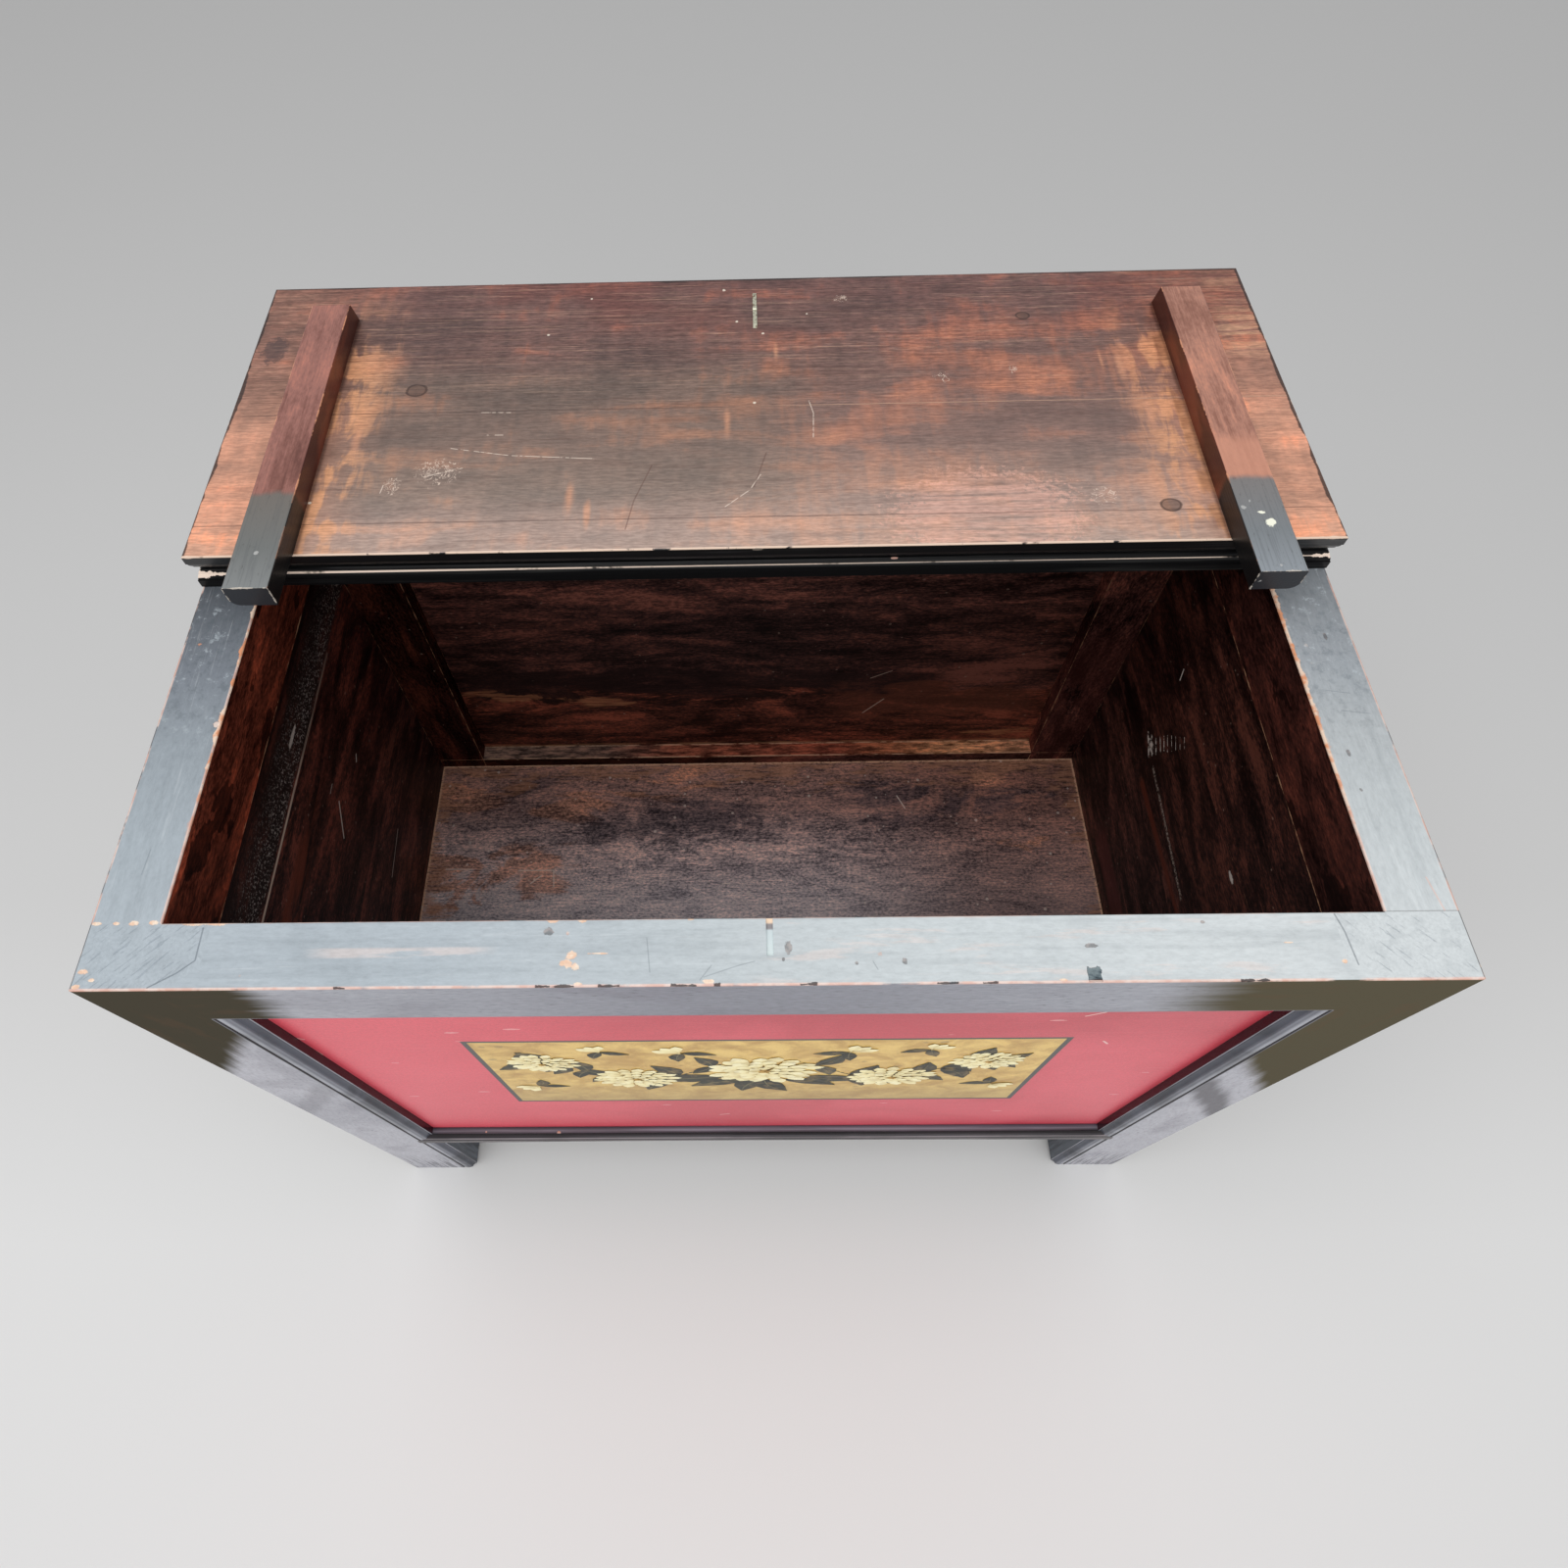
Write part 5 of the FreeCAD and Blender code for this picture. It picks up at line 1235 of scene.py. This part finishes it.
# ================================================================ painted flowers of the panel
# Blossoms: x, z, radius. Buds: x, z, half length, direction. Rings of petals: count, inner and outer
# radius as shares, height in mm. Stations: shares of a stroke's length. Vine leaves: x of each pair.
# Low leaves: x, z, direction.
BLOSSOMS = (
    (0.0, 0.590, 0.058), (0.128, 0.556, 0.044), (-0.128, 0.556, 0.044), (0.212, 0.626, 0.036),
    (-0.212, 0.626, 0.036),
)
BUDS = (
    (0.078, 0.664, 0.014, 0.9), (-0.078, 0.664, 0.014, 2.2), (0.152, 0.672, 0.012, 1.1),
    (-0.152, 0.672, 0.012, 2.0), (0.232, 0.520, 0.013, -0.7), (-0.232, 0.520, 0.013, 3.8),
)
RINGS = ((17, 0.30, 1.00, 0.5), (14, 0.18, 0.76, 0.8), (10, 0.08, 0.52, 1.1), (6, 0.02, 0.28, 1.4))
STATIONS = (0.0, 0.2, 0.45, 0.7, 0.88, 1.0)
STAMENS = 9
VINE_LEAVES = (0.050, 0.085, 0.105, 0.150, 0.172, 0.190, 0.206, 0.222)
LOW_LEAVES = ((0.0, 0.548, -1.2), (0.0, 0.548, -1.95), (0.02, 0.545, -0.5), (-0.02, 0.545, -2.64),
              (0.04, 0.560, -0.2), (-0.04, 0.560, 3.34))


def vine_level(x):
    """Height of the stem at a distance from the middle of the field."""
    return 0.590 + 0.042 * math.sin(30.0 * x + 1.2)


class Picture:
    """Flat brush strokes laid a little proud of the panel, each with its own lightness."""

    def __init__(self):
        """Start without any strokes."""
        self.points = []
        self.faces = []
        self.shades = []

    def stroke(self, start, end, half_width, height, root_shade, tip_shade, widest=0.7, bend=0.0):
        """A petal or leaf from start to end, broadest part-way along, lighter towards its tip."""
        run_x, run_z = end[0] - start[0], end[1] - start[1]
        length = math.hypot(run_x, run_z)
        side_x, side_z = -run_z / length, run_x / length
        first = len(self.points)
        for share in STATIONS:
            swell = math.sin(math.pi * share ** (math.log(0.5) / math.log(widest)))
            width = half_width * max(swell, 0.08)
            sway = bend * length * math.sin(math.pi * share)
            for side in (-1, 0, 1):
                x = start[0] + run_x * share + side_x * (side * width + sway)
                z = start[1] + run_z * share + side_z * (side * width + sway)
                y = PANEL_FACE - (height + 0.10 * side) * MM
                self.points.append((x, y, z))
                shade = root_shade + (tip_shade - root_shade) * share
                self.shades.append(shade - (0.05 if side else 0.0))
        for station in range(len(STATIONS) - 1):
            for side in range(2):
                corner = first + station * 3 + side
                self.faces.append((corner, corner + 1, corner + 4, corner + 3))

    def blossom(self, x, z, radius, chance):
        """A round many-petalled flower: rings of petals, the inner ones on top, and its stamens."""
        for count, inner, outer, height in RINGS:
            turn = chance.uniform(0, math.tau)
            for index in range(count):
                angle = turn + math.tau * (index + chance.uniform(-0.2, 0.2)) / count
                reach = radius * outer * chance.uniform(0.90, 1.06)
                start = (x + radius * inner * math.cos(angle), z + radius * inner * math.sin(angle))
                end = (x + reach * math.cos(angle), z + reach * math.sin(angle))
                half_width = math.pi * radius * outer / count * 0.80
                tip = chance.uniform(0.86, 1.0)
                self.stroke(start, end, half_width, height, 0.60, tip, widest=0.74)
        for index in range(STAMENS):
            angle = math.tau * index / STAMENS
            end = (x + 0.10 * radius * math.cos(angle), z + 0.10 * radius * math.sin(angle))
            self.stroke((x, z), end, 0.05 * radius, 1.7, 0.50, 0.56)

    def leaf(self, x, z, angle, length, chance):
        """A dark pointed leaf with a lighter vein."""
        end = (x + length * math.cos(angle), z + length * math.sin(angle))
        bend = chance.uniform(-0.12, 0.12)
        dark = chance.uniform(0.00, 0.18)
        self.stroke((x, z), end, 0.24 * length, 0.3, dark, dark + 0.10, widest=0.45, bend=bend)
        self.stroke((x, z), end, 0.015 * length, 0.45, 0.34, 0.40, widest=0.3, bend=bend)

    def vine(self, side):
        """A scrolling stem from the middle to the field's end, with pairs of leaves."""
        steps = 44
        places = []
        for index in range(steps + 1):
            x = 0.030 + 0.215 * index / steps
            places.append((side * x, vine_level(x)))
        for start, end in zip(places, places[1:]):
            self.stroke(start, (end[0] * 1.004, end[1]), 1.3 * MM, 0.2, 0.18, 0.22)


def painted_flowers():
    """Cream flowers with grey-green leaves on a scrolling stem, over the gold field."""
    chance = random.Random(7)
    picture = Picture()
    for side in (-1, 1):
        picture.vine(side)
        for x in VINE_LEAVES:
            z = vine_level(x)
            for lean in (-1, 1):
                angle = lean * chance.uniform(0.7, 1.6)
                angle = angle if side > 0 else math.pi - angle
                picture.leaf(side * x, z, angle, chance.uniform(0.034, 0.056), chance)
    for x, z, angle in LOW_LEAVES:
        picture.leaf(x, z, angle, chance.uniform(0.060, 0.078), chance)
    for x, z, radius in BLOSSOMS:
        picture.blossom(x, z, radius, chance)
    for x, z, size, angle in BUDS:
        for turn in (-0.5, 0.0, 0.5):
            end = (x + 2 * size * math.cos(angle + turn), z + 2 * size * math.sin(angle + turn))
            picture.stroke((x, z), end, 0.45 * size, 0.6, 0.66, 0.92)
        picture.leaf(x, z, angle + 2.4, 2.4 * size, chance)
        picture.leaf(x, z, angle - 2.4, 2.4 * size, chance)
    mesh = bpy.data.meshes.new("painted_flowers")
    mesh.from_pydata(picture.points, [], picture.faces)
    shade = mesh.attributes.new("shade", "FLOAT", "POINT")
    shade.data.foreach_set("value", picture.shades)
    flowers = bpy.data.objects.new("painted_flowers", mesh)
    bpy.context.scene.collection.objects.link(flowers)
    f = Finish("flower_paint", roughness=0.5, specular=0.2)
    value = f.value(f.node("ShaderNodeAttribute", attribute_name="shade"), "Fac")
    paint = f.ramp(value, (0.0, rgb(44, 46, 40)), (0.20, rgb(72, 72, 62)), (0.42, rgb(128, 122, 92)),
                   (0.52, rgb(196, 150, 70)), (0.60, rgb(214, 188, 122)), (0.80, rgb(248, 236, 184)),
                   (1.0, rgb(255, 250, 214)))
    aged = f.noise(0.012, detail=4.0, rough=0.6, seed=2.0)
    f.relief(aged, 0.1 * MM)
    mesh.materials.append(f.done(f.mix(f.step(aged, 0.52, 0.36) * 0.30, paint, rgb(176, 150, 104))))
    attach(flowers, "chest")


painted_flowers()


# ================================================================ floor, light and camera
def studio():
    """A pale floor, lightest just in front of the trunk and a little darker far behind it."""
    size = 14.0
    mesh = bpy.data.meshes.new("studio_floor")
    corners = [(-size, -size), (size, -size), (size, size), (-size, size)]
    mesh.from_pydata([(x, y, 0.0) for x, y in corners], [], [(0, 1, 2, 3)])
    floor = bpy.data.objects.new("studio_floor", mesh)
    bpy.context.scene.collection.objects.link(floor)
    f = Finish("floor_paint", roughness=0.9, specular=0.1)
    levels = ((-0.78, 223), (-0.45, 226), (0.05, 213), (0.45, 210), (1.2, 206), (2.0, 204), (3.0, 203))
    mesh.materials.append(f.done(f.ramp(f.y, *[(y, rgb(level, level, level)) for y, level in levels])))


def area_lamp(name, place, aim, width, height, watts):
    """A rectangular lamp at a place, turned towards another."""
    lamp = bpy.data.lights.new(name, "AREA")
    lamp.shape = "RECTANGLE"
    lamp.size = width
    lamp.size_y = height
    lamp.energy = watts
    carrier = bpy.data.objects.new(name, lamp)
    carrier.location = place
    carrier.rotation_mode = "QUATERNION"
    carrier.rotation_quaternion = (Vector(aim) - Vector(place)).to_track_quat("-Z", "Y")
    bpy.context.scene.collection.objects.link(carrier)


def lights():
    """Even white surroundings, a wide softbox overhead and a weaker one in front."""
    world = bpy.data.worlds.new("studio")
    world.use_nodes = True
    background = world.node_tree.nodes["Background"]
    background.inputs["Color"].default_value = (1.0, 1.0, 1.0, 1.0)
    background.inputs["Strength"].default_value = 0.62
    bpy.context.scene.world = world
    area_lamp("overhead_softbox", (-0.5, -0.85, 3.4), (0.0, -0.05, 0.7), 2.6, 2.0, 46.0)
    area_lamp("front_softbox", (0.3, -3.4, 1.5), (0.0, -0.3, 0.6), 2.0, 1.4, 24.0)


def camera():
    """The camera of the photo, fitted to the corners of the trunk."""
    data = bpy.data.cameras.new("camera")
    data.lens = 24.326
    data.sensor_width = 36.0
    data.shift_x = 0.03794
    data.shift_y = -0.09118
    eye = bpy.data.objects.new("camera", data)
    eye.location = (-0.0108, -0.5656, 1.6877)
    eye.rotation_euler = [math.radians(angle) for angle in (33.4016, 1.4855, -0.0719)]
    bpy.context.scene.collection.objects.link(eye)
    bpy.context.scene.camera = eye


studio()
lights()
camera()
bpy.context.scene.view_settings.view_transform = "Standard"
